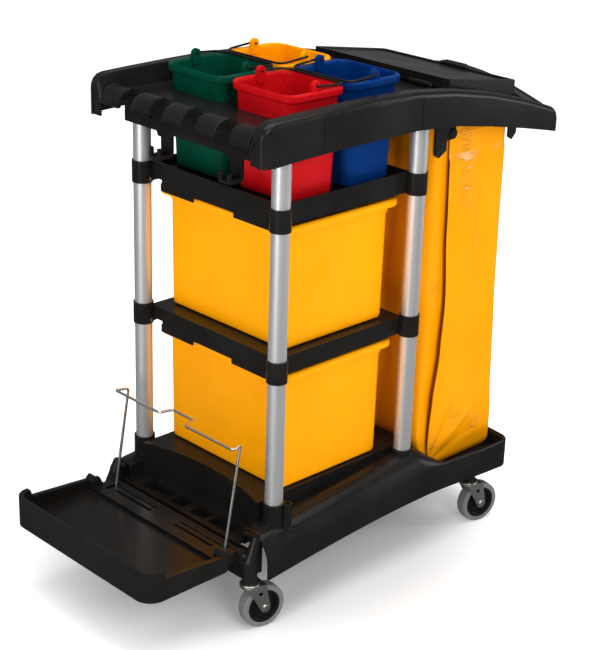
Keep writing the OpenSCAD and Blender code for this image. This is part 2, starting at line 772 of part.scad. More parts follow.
cut_half_y = 65;
module shelf(z, rim_rise, floor_rise) {
    low = -shelf_h / 2 + 2;
    lx = 2 * shelf_half_x;
    ly = 2 * shelf_half_y;
    placed(plastic_black)
    translate([0, 0, z])
    difference() {
        union() {
            translate([-shelf_half_x, -shelf_half_y, low]) cube([lx, ly, rim_rise - low]);
            for (s = corners)
                translate([s[0] * post_gap_x / 2, s[1] * post_gap_y / 2, -shelf_h / 2])
                    cylinder(r = collar_r, h = shelf_h);
        }
        difference() {
            translate([-shelf_half_x + shelf_wall, -shelf_half_y + shelf_wall, low - 1])
                cube([lx - 2 * shelf_wall, ly - 2 * shelf_wall, floor_rise - shelf_wall - low + 1]);
            for (s = corners)
                translate([s[0] * post_gap_x / 2, s[1] * post_gap_y / 2, -shelf_h / 2])
                    cylinder(r = collar_r, h = shelf_h);
            for (f = [-1, 1]) {
                translate([f * shelf_half_x / 3 - rib_t / 2, -shelf_half_y, 0]) cube([rib_t, ly, shelf_h]);
                translate([-shelf_half_x, f * shelf_half_y / 3 - rib_t / 2, 0]) cube([lx, rib_t, shelf_h]);
            }
        }
        difference() {
            translate([-shelf_half_x + shelf_wall, -shelf_half_y + shelf_wall, floor_rise])
                cube([lx - 2 * shelf_wall, ly - 2 * shelf_wall, shelf_h]);
            for (s = corners)
                translate([s[0] * post_gap_x / 2, s[1] * post_gap_y / 2, -shelf_h / 2])
                    cylinder(r = collar_r, h = shelf_h);
        }
        for (s = corners)
            translate([s[0] * post_gap_x / 2, s[1] * post_gap_y / 2, -shelf_h])
                cylinder(r = post_r + post_clear, h = 2 * shelf_h);
        for (end = [-1, 1]) {
            translate([end * shelf_half_x - 10, -cut_half_y, low - 1]) cube([20, 2 * cut_half_y, 17]);
            for (side = [-1, 1])
                translate([end * shelf_half_x - 10, side * (shelf_half_y - 22) - 18, low - 1])
                    cube([20, 36, 11]);
        }
    }
}
module middle_shelf() {
    shelf(middle_shelf_z, shelf_floor_rise, shelf_floor_rise);
}
module upper_shelf() {
    shelf(upper_shelf_z, shelf_h / 2, shelf_floor_rise - tray_recess);
}

// Bins with a rolled rim that just passes between the posts
bin_taper_l = 4;
bin_taper_w = 4;
bin_rim_out = 13;
bin_rim_l = post_gap_x - 2 * collar_r - 8;
bin_rim_w = bin_w + 2 * bin_rim_out;
module bin(z) {
    l = bin_l - bin_taper_l;
    w = bin_w - bin_taper_w;
    t = bin_wall;
    placed(plastic_yellow)
    translate([0, 0, z + seat_gap])
    vessel([[l - 20, w - 20, 10, 0], [l - 6, w - 6, 13, 3.5], [l - 1, w - 1, 16, 12],
            [bin_l, bin_w, 18, bin_h - 32], [bin_l + 5, bin_w + 5, 19, bin_h - 30],
            [bin_l + 5, bin_w + 5, 19, bin_h - 19], [bin_rim_l - 4, bin_rim_w - 4, 19, bin_h - 18],
            [bin_rim_l, bin_rim_w, 20, bin_h - 14], [bin_rim_l, bin_rim_w, 20, bin_h - 4],
            [bin_rim_l - 6, bin_rim_w - 6, 18, bin_h], [bin_l + 10, bin_w + 8, 18, bin_h],
            [bin_l - 2 * t, bin_w - 2 * t, 16, bin_h - 8], [l - 2 * t, w - 2 * t, 14, 14],
            [l - 2 * t - 10, w - 2 * t - 10, 11, 5], [l - 2 * t - 24, w - 2 * t - 24, 8, t]], 5);
}

// Pails with two ears for the bail, which is a bent rod

pail_base_l = pail_l - 30;
pail_base_w = pail_w - 36;
pail_neck_l = pail_l - 6;
pail_neck_w = pail_w - 28;
pail_base_r = 22;
pail_neck_r = 28;
pail_rim_r = 34;
pail_band_h = 18;
ear_l = 22;
ear_t = 9;
ear_y = pail_w / 2 - 17;
function pail_at(s) = [pail_mid_x + s[0] * pail_gap_x / 2, s[1] * pail_gap_y / 2, pail_floor_z + seat_gap];
module pail(s, c) {
    h = pail_h;
    t = pail_wall;
    placed(c)
    translate(pail_at(s))
    difference() {
        union() {
            vessel([[pail_base_l - 14, pail_base_w - 14, 14, 0], [pail_base_l - 4, pail_base_w - 4, 19, 3],
                    [pail_base_l, pail_base_w, pail_base_r, 10],
                    [pail_neck_l, pail_neck_w, pail_neck_r, h - pail_band_h],
                    [pail_l - 2, pail_w - 4, pail_rim_r - 2, h - pail_band_h + 2],
                    [pail_l, pail_w, pail_rim_r, h - pail_band_h + 5], [pail_l, pail_w, pail_rim_r, h - 3],
                    [pail_l - 3, pail_w - 4, pail_rim_r - 1, h],
                    [pail_neck_l, pail_neck_w, pail_neck_r, h - 1],
                    [pail_neck_l - 2 * t, pail_neck_w - 2 * t, pail_neck_r - t, h - 8],
                    [pail_base_l - 2 * t, pail_base_w - 2 * t, pail_base_r - t, 12],
                    [pail_base_l - 2 * t - 6, pail_base_w - 2 * t - 6, 16, 5],
                    [pail_base_l - 2 * t - 16, pail_base_w - 2 * t - 16, 12, t]], 6);
            for (side = [-1, 1]) {
                translate([-ear_l / 2, side * ear_y - ear_t / 2, h - 14])
                    cube([ear_l, ear_t, 14 + pivot_rise]);
                translate([0, side * ear_y, h + pivot_rise]) rotate([90, 0, 0])
                    cylinder(r = ear_l / 2, h = ear_t, center = true);
            }
        }
        translate([0, 0, h + pivot_rise]) rotate([90, 0, 0])
            cylinder(r = bail_r + run_gap, h = 2 * pail_w, center = true);
    }
}

// The bail lies on the rim, towards the middle of the cart
bail_reach = 79;
bail_bend_r = 22;
bail_arm_y = ear_y + ear_t / 2 + bail_r + 1;
bail_rest = asin((pivot_rise - bail_r - seat_gap - 0.3) / bail_reach);
module bail(s) {
    placed(plastic_black)
    translate(pail_at(s))
    translate([0, 0, pail_h + pivot_rise])
    rotate([0, -s[0] * bail_rest, 0])
    mirror([s[0] < 0 ? 0 : 1, 0, 0])
    for (side = [-1, 1]) {
        pin_l = ear_t + bail_r + 4;
        translate([0, side * (bail_arm_y - pin_l / 2), 0]) rotate([90, 0, 0])
            cylinder(r = bail_r, h = pin_l, center = true);
        translate([0, side * bail_arm_y, 0]) sphere(r = bail_r);
        translate([0, side * bail_arm_y, 0]) rotate([0, 90, 0])
            cylinder(r = bail_r, h = bail_reach - bail_bend_r);
        translate([bail_reach - bail_bend_r, side * (bail_arm_y - bail_bend_r), 0])
            rotate([0, 0, side > 0 ? 0 : -90])
                rotate_extrude(angle = 90) translate([bail_bend_r, 0]) circle(r = bail_r);
        translate([bail_reach, side * (bail_arm_y - bail_bend_r) / 2, 0]) rotate([90, 0, 0])
            cylinder(r = bail_r, h = bail_arm_y - bail_bend_r + 0.01, center = true);
    }
}

// Hood: two shell rails, a deck with openings for the pails, a rolled front with tool notches,
// a falling rear frame for the lid and a push bar across the rear end

rail_out_y = hood_w / 2;
rail_in_y = rail_out_y - 44;
rail_top_y = rail_out_y - 33;
rail_r_y = 12;
rail_r_z = 12;
rail_steps = 6;
rail_edge_in = 1.5;
rail_inner_drop = 34;
tail_l = 14;
tail_drop = 12;
rail_xs = concat([for (t = [0, 0.03, 0.12, 0.3, 0.6, 1]) hood_front_x + nose_l * t],
                 [for (t = [0.35, 0.67]) mix(hood_front_x, 0, t)],
                 [for (t = [0, 0.24, 0.45, 0.67, 0.88, 1]) crown_to_x * t],
                 [for (t = [0.37, 0.67]) mix(crown_to_x, hood_rear_x - tail_l, t)],
                 [for (t = [1, 0.5, 0.2, 0]) hood_rear_x - tail_l * t]);
function rail_end(x) = let (s = clamp01((x - hood_rear_x + tail_l) / tail_l))
    tail_drop * (1 - sqrt(1 - s * s));
// The rail's side, which turns in at its front end
function rail_side(x) = let (s = clamp01((hood_front_x + nose_l - x) / nose_l))
    rail_out_y - nose_in * (1 - sqrt(1 - s * s));
function rail_inner(zc) = min(hood_deck_z - hood_wall - 3, zc - rail_inner_drop);
function rail_section(x) =
    let (zc = rail_crest(x) - rail_end(x))
    let (zl = rail_low(x))
    let (rz = min(rail_r_z, (zc - zl) * 0.6))
    let (zi = rail_inner(zc))
    let (t = hood_wall)
    let (arc = [for (i = [0 : rail_steps]) 90 * i / rail_steps])
    let (out = rail_side(x))
    let (y = out - rail_r_y)
    concat([[out, zl]],
           [for (a = arc) [y + rail_r_y * cos(a), zc - rz + rz * sin(a)]],
           [[rail_top_y, zc], [rail_in_y, zi], [rail_in_y + t, zi], [rail_top_y + t, zc - t]],
           [for (i = [rail_steps : -1 : 0])
            [y + (rail_r_y - t) * cos(arc[i]), zc - rz + (rz - t) * sin(arc[i])]],
           [[out - t, zl]]);
// End plates inside the shell, drawn to the middle of its wall
function rail_core(x) =
    let (zc = rail_crest(x) - rail_end(x))
    let (zl = rail_low(x) + rail_edge_in)
    let (rz = min(rail_r_z, (zc - rail_low(x)) * 0.6))
    let (zi = rail_inner(zc))
    let (h = hood_wall / 2)
    let (out = rail_side(x))
    let (y = out - rail_r_y)
    concat([[x, out - h, zl]],
           [for (i = [0 : rail_steps])
            let (a = 90 * i / rail_steps)
            [x, y + (rail_r_y - h) * cos(a), zc - rz + (rz - h) * sin(a)]],
           [[x, rail_top_y + h, zc - h], [x, rail_in_y + h, zi], [x, rail_in_y + h, zl]]);
module rail() {
    loft([for (x = rail_xs) [for (p = rail_section(x)) [x, p[0], p[1]]]], strip = true);
    loft([for (d = [0, hood_wall]) rail_core(hood_front_x + rail_edge_in + d)]);
    loft([for (d = [hood_wall, 0]) rail_core(hood_rear_x - rail_edge_in - d)]);
}

// Plate between the rails in one profile: a rolled front lip, the deck and the falling lid frame
roll_l = 64;
roll_h = 11;
roll_front_x = hood_front_x + 1.2;
roll_x = roll_front_x + roll_l;
roll_steps = 9;
lip_low_z = hood_deck_z - roll_h - 4;
plate_half_y = rail_in_y + 13;
frame_from_x = lid_front_x - 14;
frame_to_x = lid_front_x + lid_l + 4;
frame_pitch = 0.255;
function frame_z(x) = hood_deck_z - frame_pitch * (x - frame_from_x);
function lid_z(x) = lid_top_z - lid_pitch * (x - lid_front_x);
function roll_arc(inset) =
    [for (i = [0 : roll_steps])
     let (a = 90 + 90 * i / roll_steps)
     [roll_x + (roll_l - inset) * cos(a), hood_deck_z - roll_h + (roll_h - inset) * sin(a)]];
module plate_profile() {
    under = roll_arc(hood_wall);
    polygon(concat([[frame_to_x, frame_z(frame_to_x)], [frame_from_x, hood_deck_z]], roll_arc(0),
                   [[roll_front_x, lip_low_z], [roll_front_x + hood_wall, lip_low_z]],
                   [for (i = [roll_steps : -1 : 0]) under[i]],
                   [[frame_from_x, hood_deck_z - hood_wall],
                    [frame_to_x, frame_z(frame_to_x) - hood_wall]]));
}

// Tool notches: open to the front, with a wall round each
notch_r = notch_w / 2;
notch_x = roll_x - 4 - notch_r;
notch_neck = 0.8;
notch_ys = [for (i = [0 : 3]) (i - 1.5) * notch_gap];
module notch_plan(grow) {
    half = notch_r - notch_neck + grow;
    translate([notch_x, 0]) circle(r = notch_r + grow);
    translate([hood_front_x - 10, -half]) square([notch_x - hood_front_x + 10, 2 * half]);
}
module notch_walls() {
    intersection() {
        across(2 * rail_in_y)
            polygon(concat(roll_arc(hood_wall / 2), [[roll_front_x + hood_wall / 2, lip_low_z + 1],
                                                     [roll_x + 8, lip_low_z + 1],
                                                     [roll_x + 8, hood_deck_z - hood_wall / 2]]));
        translate([0, 0, lip_low_z - 5]) linear_extrude(roll_h + 40)
            for (y = notch_ys) translate([0, y]) notch_plan(hood_wall);
    }
}

// Size of a pail where it passes the deck, and its opening
pail_hole_gap = 3;
deck_share = (hood_deck_z - pail_floor_z - 10) / (pail_h - pail_band_h - 10);
pail_hole_l = mix(pail_base_l, pail_neck_l, deck_share) + 2 * pail_hole_gap;
pail_hole_w = mix(pail_base_w, pail_neck_w, deck_share) + 2 * pail_hole_gap;
pail_hole_r = pail_neck_r + pail_hole_gap;

// Mouth over the bag, with a collar that the lid closes on
mouth_inset = 12;
mouth_r = 14;
mouth_wall = 4;
lid_recess = 4;
mouth_low_z = hood_deck_z - 110;
mouth_cut_h = 200;
module mouth_plan(grow) {
    translate([lid_front_x + lid_l / 2, 0])
        round_rect(lid_l - 2 * (mouth_inset - grow), lid_w - 2 * (mouth_inset - grow), mouth_r + grow);
}
module mouth_collar() {
    top_gap = lid_recess + lid_wall + 0.6;
    a = lid_front_x;
    b = lid_front_x + lid_l;
    intersection() {
        translate([0, 0, mouth_low_z]) linear_extrude(mouth_cut_h) mouth_plan(mouth_wall);
        across(lid_w)
            polygon([[a, frame_z(a) - 3], [b, frame_z(b) - 3],
                     [b, lid_z(b) - top_gap], [a, lid_z(a) - top_gap]]);
    }
}

module hood_plate() {
    difference() {
        union() {
            across(2 * plate_half_y) plate_profile();
            notch_walls();
            mouth_collar();
        }
        translate([0, 0, lip_low_z - 20]) linear_extrude(roll_h + 60)
            for (y = notch_ys) translate([0, y]) notch_plan(0);
        for (s = corners)
            translate([pail_mid_x + s[0] * pail_gap_x / 2, s[1] * pail_gap_y / 2, hood_deck_z - 20])
                linear_extrude(40) round_rect(pail_hole_l, pail_hole_w, pail_hole_r);
        translate([0, 0, mouth_low_z]) linear_extrude(mouth_cut_h) mouth_plan(0);
    }
    for (y = notch_ys)
        translate([roll_x - 2, y - notch_r - 3, hood_deck_z - 3]) cylinder(r = 5, h = 8);
    for (s = corners)
        translate([s[0] * post_gap_x / 2, s[1] * post_gap_y / 2, hood_socket_z])
            cylinder(r = socket_r, h = hood_deck_z - 1 - hood_socket_z);
}

// Apron behind the roll, with deeper tabs where the hooks are screwed on
hood_apron_x = roll_x + 2;
hood_apron_low_z = hood_deck_z - 70;
hook_ys = [-118, 104];
hook_w = 34;
tab_half = hook_w / 2 + 8;
tab_z = hood_apron_low_z - 10;
module hood_apron() {
    half = rail_in_y + 2;
    tabs = flat([for (y = hook_ys) [[y - tab_half, hood_apron_low_z], [y - tab_half + 4, tab_z],
                                    [y + tab_half - 4, tab_z], [y + tab_half, hood_apron_low_z]]]);
    translate([hood_apron_x, 0, 0]) rotate([90, 0, 90]) linear_extrude(hood_wall)
        polygon(concat([[-half, hood_apron_low_z]], tabs,
                       [[half, hood_apron_low_z], [half, hood_deck_z - 2], [-half, hood_deck_z - 2]]));
}

// Push bar across the rear end, higher in the middle
bar_w = 35;
bar_h = 38;
bar_r = 15;
bar_rise = 46;
bar_end_y = rail_in_y + 6;
function bar_top(y) = rail_crest(hood_rear_x - bar_w / 2) + 2 + bar_rise * cos(90 * y / bar_end_y);
function bar_ring(y) =
    let (x = hood_rear_x - 2 - bar_w / 2)
    let (z = bar_top(y) - bar_h / 2)
    [for (p = box_ring(bar_h, bar_w, bar_r, 0, 3)) [x + p[1], y, z + p[0]]];
module push_bar() {
    loft([for (t = [-1 : 0.125 : 1]) bar_ring(t * bar_end_y)]);
}

// Lugs on the deck for the lid's hinge
lid_barrel_y = 140;
lid_barrel_l = 40;
lid_barrel_r = lid_pin_r + 3.8;
lug_w = 10;
lug_r = lid_barrel_r - 0.3;
module lid_lugs() {
    for (side = [-1, 1], e = [-1, 1])
        translate([lid_hinge_x, side * lid_barrel_y + e * (lid_barrel_l / 2 + 1 + lug_w / 2), 0]) {
            translate([0, 0, lid_hinge_z]) rotate([90, 0, 0]) cylinder(r = lug_r, h = lug_w, center = true);
            translate([1 - lug_r, 0.5 - lug_w / 2, hood_deck_z - 2])
                cube([2 * lug_r - 2, lug_w - 1, lid_hinge_z - hood_deck_z + 2]);
        }
}

// Shallow upright creases in the rails' outer faces
crease_xs = [-144, 145];
crease_w = 2;
crease_deep = 1.5;
crease_h = 130;
module hood() {
    placed(plastic_black)
    difference() {
        union() {
            rail();
            mirror([0, 1, 0]) rail();
            hood_plate();
            hood_apron();
            push_bar();
            lid_lugs();
        }
        for (s = corners)
            translate([s[0] * post_gap_x / 2, s[1] * post_gap_y / 2, hood_socket_z - 10])
                cylinder(r = post_r + post_clear, h = post_top_z - hood_socket_z + 10);
        for (side = [-1, 1]) {
            translate([lid_hinge_x, side * lid_barrel_y, lid_hinge_z]) rotate([90, 0, 0])
                cylinder(r = lid_pin_r + run_gap, h = lid_barrel_l + 40, center = true);
            for (x = crease_xs)
                translate([x, side * rail_out_y - crease_deep, hood_deck_z - 80])
                    cube([crease_w, 2 * crease_deep, crease_h]);
        }
    }
}

// Hooks under the front of the hood: a plate with a foot and two prongs
hook_drop = 53;
hook_reach = 32;
hook_t = 8;
prong_w = 8;
prong_h = 20;
module tool_hook(y) {
    plate_x = hood_apron_x + hood_wall;
    low = hood_apron_low_z - hook_drop;
    placed(plastic_black)
    translate([0, y, 0]) {
        across(hook_w)
            polygon([[plate_x, hood_apron_low_z + 20], [plate_x, low + 9],
                     [plate_x - hook_reach + 6, low + 9], [plate_x - hook_reach, low + 6],
                     [plate_x - hook_reach + 2, low], [plate_x, low],
                     [plate_x + hook_t - 2, low + 4], [plate_x + hook_t, low + 12],
                     [plate_x + hook_t, hood_apron_low_z + 20]]);
        for (side = [-1, 1])
            translate([plate_x - hook_reach, side * (hook_w - prong_w) / 2 - prong_w / 2, low + 5])
                cube([prong_w - 1, prong_w, prong_h]);
    }
}

// Lid: a shallow wedge with a sunken top, a pull tab and two hinge barrels
lid_front_h = 24;
lid_rear_h = 35;
lid_lip = 9;
lid_corner_r = 12;
lid_over = 60;
tab_w = 64;
tab_l = 15;
tab_t = 5;
function lid_strip(from, to, up, down_front, down_rear) =
    [[from, lid_z(from) - up], [to, lid_z(to) - up],
     [to, lid_z(to) - down_rear], [from, lid_z(from) - down_front]];
module lid() {
    a = lid_front_x;
    b = lid_front_x + lid_l;
    placed(plastic_black)
    difference() {
        union() {
            intersection() {
                across(lid_w) polygon(lid_strip(a, b, 0, lid_front_h, lid_rear_h));
                translate([a + lid_l / 2, 0, mouth_low_z])
                    linear_extrude(mouth_cut_h) round_rect(lid_l, lid_w, lid_corner_r);
            }
            for (side = [-1, 1]) {
                translate([lid_hinge_x, side * lid_barrel_y, lid_hinge_z]) rotate([90, 0, 0])
                    cylinder(r = lid_barrel_r, h = lid_barrel_l, center = true);
                translate([lid_hinge_x, side * lid_barrel_y - lid_barrel_l / 2, lid_hinge_z - 4])
                    cube([a + 2 - lid_hinge_x, lid_barrel_l, 8]);
            }
            translate([b - 3, -tab_w / 2, lid_z(b) - 12]) rotate([0, 4, 0]) cube([tab_l, tab_w, tab_t]);
        }
        across(lid_w - 2 * lid_wall)
            polygon(lid_strip(a + lid_wall, b - lid_wall, lid_recess + lid_wall, lid_over, lid_over));
        across(lid_w - 2 * lid_lip)
            polygon(lid_strip(a + lid_lip, b - lid_lip, lid_recess, -lid_over, -lid_over));
        for (side = [-1, 1])
            translate([lid_hinge_x, side * lid_barrel_y, lid_hinge_z]) rotate([90, 0, 0])
                cylinder(r = lid_pin_r + run_gap, h = lid_barrel_l + 2, center = true);
    }
}

module lid_hinge_pins() {
    placed(zinc)
    for (side = [-1, 1])
        translate([lid_hinge_x, side * lid_barrel_y, lid_hinge_z]) rotate([90, 0, 0])
            cylinder(r = lid_pin_r, h = lid_barrel_l + 22, center = true);
}

// Bag: an open sack that stands in the tray, swells over the deck and hangs from the hood

bag_low_z = tray_floor_z + seat_gap;
bag_top_z = hood_deck_z - 72;
bag_front_x = deck_rear_x + 10;
// The bag's hem, in from the hood's rail, and its wider foot
bag_foot_out = 5;
hem_half_w = rail_in_y - 21.5;
bag_half_w = hem_half_w + bag_foot_out;
function bag_front(z) = mix(sink_to_x + 10, bag_front_x, ease((z - deck_z + 36) / 80));
function bag_rear(z) = mix(tray_rear_x - 27, tray_rear_x - 44, ease((z - deck_z + 37) / 420));
function bag_half(z) = mix(bag_half_w, hem_half_w, ease((z - deck_z - 133) / 500));
function bag_ring(z, d, r) =
    let (f = bag_front(z) + d)
    let (b = bag_rear(z) - d)
    [for (p = box_ring(b - f, 2 * (bag_half(z) - d), r, z, 4)) p + [(f + b) / 2, 0, 0]];
bag_zs = concat([bag_low_z + 26], [for (d = [-42, -12, 18, 53]) deck_z + d],
                [for (t = [0.33, 0.68, 0.85, 1]) mix(deck_z, bag_top_z, t)]);
module bag() {
    placed(vinyl_yellow)
    loft(concat([bag_ring(bag_low_z, 14, 12), bag_ring(bag_low_z + 6, 4, 18)],
                [for (z = bag_zs) bag_ring(z, 0, 24)],
                [for (i = [len(bag_zs) - 1 : -1 : 0]) bag_ring(bag_zs[i], bag_wall, 24 - bag_wall)],
                [bag_ring(bag_low_z + 8, 4 + bag_wall, 14), bag_ring(bag_low_z + bag_wall, 16, 10)]));
}

// Brackets that carry the bag's hem, and the pegs through its eyelets
bracket_y = bag_half(bag_top_z) + seat_gap;
bracket_t = 5;
bracket_low_z = hood_deck_z - 145;
front_bracket = [bag_front_x + 4, bag_front_x + 70];
rear_bracket = [tray_rear_x - 48, tray_rear_x - 16];
peg_z = hood_deck_z - 96;
peg_r = 4;
peg_head_r = 9;
peg_head_t = 3;
front_peg_x = front_bracket[1] - 10;
rear_peg_x = rear_bracket[1] - 12;
function under_hood(x) = min(frame_z(x), hood_deck_z) - hood_wall - seat_gap;
module bracket(x0, x1, side, cut) {
    translate([0, side * (bracket_y + bracket_t / 2), 0])
        across(bracket_t)
            polygon(concat([[x0, under_hood(x0)], [x0, bracket_low_z + 8], [x0 + 14, bracket_low_z],
                            [x1 - cut, bracket_low_z + 14], [x1 - cut, peg_z - 14], [x1, peg_z - 12],
                            [x1, under_hood(x1)]],
                           x0 < frame_from_x ? [[frame_from_x, under_hood(frame_from_x)]] : []));
}
module bag_hooks() {
    placed(plastic_black)
    for (side = [-1, 1]) {
        difference() {
            bracket(front_bracket[0], front_bracket[1], side, 28);
            translate([front_peg_x, side * bracket_y, peg_z]) rotate([90, 0, 0])
                cylinder(r = peg_r + fit_gap, h = 6 * bracket_t, center = true);
        }
        difference() {
            bracket(rear_bracket[0], rear_bracket[1], side, 4);
            translate([rear_peg_x, side * bracket_y, peg_z]) rotate([90, 0, 0])
                cylinder(r = peg_r + fit_gap, h = 6 * bracket_t, center = true);
        }
    }
}
module bag_pegs() {
    placed(plastic_black)
    for (side = [-1, 1], x = [front_peg_x, rear_peg_x])
        translate([x, side * bracket_y, peg_z]) rotate([-side * 90, 0, 0]) {
            cylinder(r = peg_r, h = bracket_t + peg_head_t);
            translate([0, 0, bracket_t]) cylinder(r = peg_head_r, h = peg_head_t);
        }
}

base();
platform();
platform_hinge_pins();
wire_rack();
post(front_left);  // post_front_left
post(front_right);  // post_front_right
post(rear_left);  // post_rear_left
post(rear_right);  // post_rear_right
middle_shelf();
upper_shelf();
bin(deck_z);  // lower_bin
bin(middle_shelf_z + shelf_floor_rise);  // upper_bin
hood();
tool_hook(hook_ys[0]);  // tool_hook_left
tool_hook(hook_ys[1]);  // tool_hook_right
lid();
lid_hinge_pins();
pail(front_left, pail_red);  // pail_front_left
pail(front_right, pail_green);  // pail_front_right
pail(rear_left, pail_blue);  // pail_rear_left
pail(rear_right, plastic_yellow);  // pail_rear_right
bail(front_left);  // bail_front_left
bail(front_right);  // bail_front_right
bail(rear_left);  // bail_rear_left
bail(rear_right);  // bail_rear_right
bag();
bag_hooks();
bag_pegs();
caster_stem(front_left);  // caster_stem_front_left
caster_stem(front_right);  // caster_stem_front_right
caster_stem(rear_left);  // caster_stem_rear_left
caster_stem(rear_right);  // caster_stem_rear_right
caster_fork(front_left);  // caster_fork_front_left
caster_fork(front_right);  // caster_fork_front_right
caster_fork(rear_left);  // caster_fork_rear_left
caster_fork(rear_right);  // caster_fork_rear_right
caster_axle(front_left);  // caster_axle_front_left
caster_axle(front_right);  // caster_axle_front_right
caster_axle(rear_left);  // caster_axle_rear_left
caster_axle(rear_right);  // caster_axle_rear_right
caster_bush(front_left);  // caster_bush_front_left
caster_bush(front_right);  // caster_bush_front_right
caster_bush(rear_left);  // caster_bush_rear_left
caster_bush(rear_right);  // caster_bush_rear_right
wheel_hub(front_left);  // wheel_hub_front_left
wheel_hub(front_right);  // wheel_hub_front_right
wheel_hub(rear_left);  // wheel_hub_rear_left
wheel_hub(rear_right);  // wheel_hub_rear_right
tyre(front_left);  // tyre_front_left
tyre(front_right);  // tyre_front_right
tyre(rear_left);  // tyre_rear_left
tyre(rear_right);  // tyre_rear_right
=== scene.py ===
"""Looks of the janitor cart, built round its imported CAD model."""
import json
import math

import bmesh
import bpy
from mathutils import Matrix, Vector, noise


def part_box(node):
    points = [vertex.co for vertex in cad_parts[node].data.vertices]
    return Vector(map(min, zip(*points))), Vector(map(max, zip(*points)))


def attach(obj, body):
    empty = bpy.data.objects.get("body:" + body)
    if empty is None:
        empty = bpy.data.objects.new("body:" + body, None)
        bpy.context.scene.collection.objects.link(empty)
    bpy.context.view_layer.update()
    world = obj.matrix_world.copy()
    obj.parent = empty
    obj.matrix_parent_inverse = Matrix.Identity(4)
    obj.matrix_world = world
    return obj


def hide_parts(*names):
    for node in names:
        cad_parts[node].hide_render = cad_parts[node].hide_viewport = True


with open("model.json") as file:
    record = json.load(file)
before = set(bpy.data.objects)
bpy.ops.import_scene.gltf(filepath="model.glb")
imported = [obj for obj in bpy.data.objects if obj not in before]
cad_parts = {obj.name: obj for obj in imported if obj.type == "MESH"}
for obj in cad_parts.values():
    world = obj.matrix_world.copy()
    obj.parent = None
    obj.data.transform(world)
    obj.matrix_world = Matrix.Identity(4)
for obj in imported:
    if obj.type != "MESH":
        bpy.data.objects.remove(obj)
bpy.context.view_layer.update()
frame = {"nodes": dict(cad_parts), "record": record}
NODES = frame["nodes"]
BODIES = frame["record"]["behaviour"]["bodies"]
BODY_OF = {node: body for body, members in BODIES.items() for node in members}
SLOT_OF = {part["node"]: part["material_slot"] for part in frame["record"]["subparts"]}
MM = 0.001


# Camera and light

CAMERA_PLACE = (-2.3564, -2.4525, 1.9392)
CAMERA_AZIMUTH = math.radians(-44.4)
CAMERA_ELEVATION = math.radians(22.1)
CAMERA_ROLL = math.radians(1.67)
CAMERA_CLIP = (0.05, 50)
FOCAL_PIXELS = 1609
IMAGE_LONG_SIDE = 650
SENSOR = 36
ROOM_LIGHT = 0.42
ROOM_MIRRORED = 0.2
LAMP_TARGET = (0, 0, 0.6)
# Place, size, watts and colour of each lamp
LAMPS = {
    "top": ((0.1, -0.3, 3.6), (3.2, 3.2), 86, (1, 1, 1)),
    "key": ((-1.4, -3.4, 2.6), (1.5, 1.2), 46, (1, 0.985, 0.96)),
    "side": ((3.2, -2.4, 1.5), (0.8, 2.4), 26, (0.98, 0.99, 1)),
    "front": ((-3.4, -0.9, 1.1), (1.2, 1.8), 40, (1, 0.98, 0.95)),
}
FLOOR_HALF = 14
FLOOR_COLOUR = (0.86, 0.87, 0.88, 1)
# The floor's painted light: it glows, least under the cart as a painted shadow and most away from
# it; and the distances between which the glow grows
FLOOR_GLOW = (0.1, 0.74)
FLOOR_GLOW_REACH = (0.3, 0.85)
# How much of the floor glossy faces see as dark, and how dark
FLOOR_DIMMED = 0.96
FLOOR_DIM = (0.03, 0.03, 0.03, 1)


def make_camera():
    """The camera of the photograph, from its place, its turn and its focal length in pixels."""
    data = bpy.data.cameras.new("camera")
    data.sensor_width = SENSOR
    data.lens = FOCAL_PIXELS / IMAGE_LONG_SIDE * SENSOR
    data.clip_start, data.clip_end = CAMERA_CLIP
    a, e = CAMERA_AZIMUTH, CAMERA_ELEVATION
    back = Vector((math.sin(a) * math.cos(e), -math.cos(a) * math.cos(e), math.sin(e)))
    right = Vector((math.cos(a), math.sin(a), 0))
    up = back.cross(right)
    side = right * math.cos(CAMERA_ROLL) + up * math.sin(CAMERA_ROLL)
    top = up * math.cos(CAMERA_ROLL) - right * math.sin(CAMERA_ROLL)
    turn = Matrix((side, top, back)).transposed().to_4x4()
    camera = bpy.data.objects.new("camera", data)
    bpy.context.scene.collection.objects.link(camera)
    camera.matrix_world = Matrix.Translation(CAMERA_PLACE) @ turn
    bpy.context.scene.camera = camera


def area_light(name, place, size, watts, colour):
    data = bpy.data.lights.new(name, "AREA")
    data.shape = "RECTANGLE"
    data.size, data.size_y = size
    data.energy = watts
    data.color = colour
    lamp = bpy.data.objects.new(name, data)
    bpy.context.scene.collection.objects.link(lamp)
    lamp.location = place
    aim = Vector(LAMP_TARGET) - Vector(place)
    lamp.rotation_euler = aim.to_track_quat("-Z", "Y").to_euler()


def make_studio():
    """A white room that glossy faces mirror only dimly, four soft lamps and the floor."""
    bpy.context.scene.view_settings.view_transform = "Standard"
    world = bpy.data.worlds.new("studio")
    bpy.context.scene.world = world
    world.use_nodes = True
    tree = world.node_tree
    sky = tree.nodes["Background"]
    sky.inputs["Color"].default_value = (1, 1, 1, 1)
    ray = put(tree, "ShaderNodeLightPath").outputs
    seen = math_node(tree, "MULTIPLY_ADD", ray["Is Camera Ray"], 1 - ROOM_LIGHT, ROOM_LIGHT)
    less = ROOM_MIRRORED - ROOM_LIGHT
    lit = math_node(tree, "MULTIPLY_ADD", ray["Is Glossy Ray"], less, seen)
    tree.links.new(lit, sky.inputs["Strength"])
    for name, lamp in LAMPS.items():
        area_light(name, *lamp)
    bm = bmesh.new()
    bmesh.ops.create_grid(bm, x_segments=1, y_segments=1, size=FLOOR_HALF)
    floor = object_of(bm, "floor")
    floor.data.materials.append(floor_paint())


# Mesh helpers, with sizes in millimetres

MERGE_GAP = 0.01
FLAT_ANGLE = math.radians(0.4)
SHARP_ANGLE = math.radians(32)
ROUNDING_SEGMENTS = 2


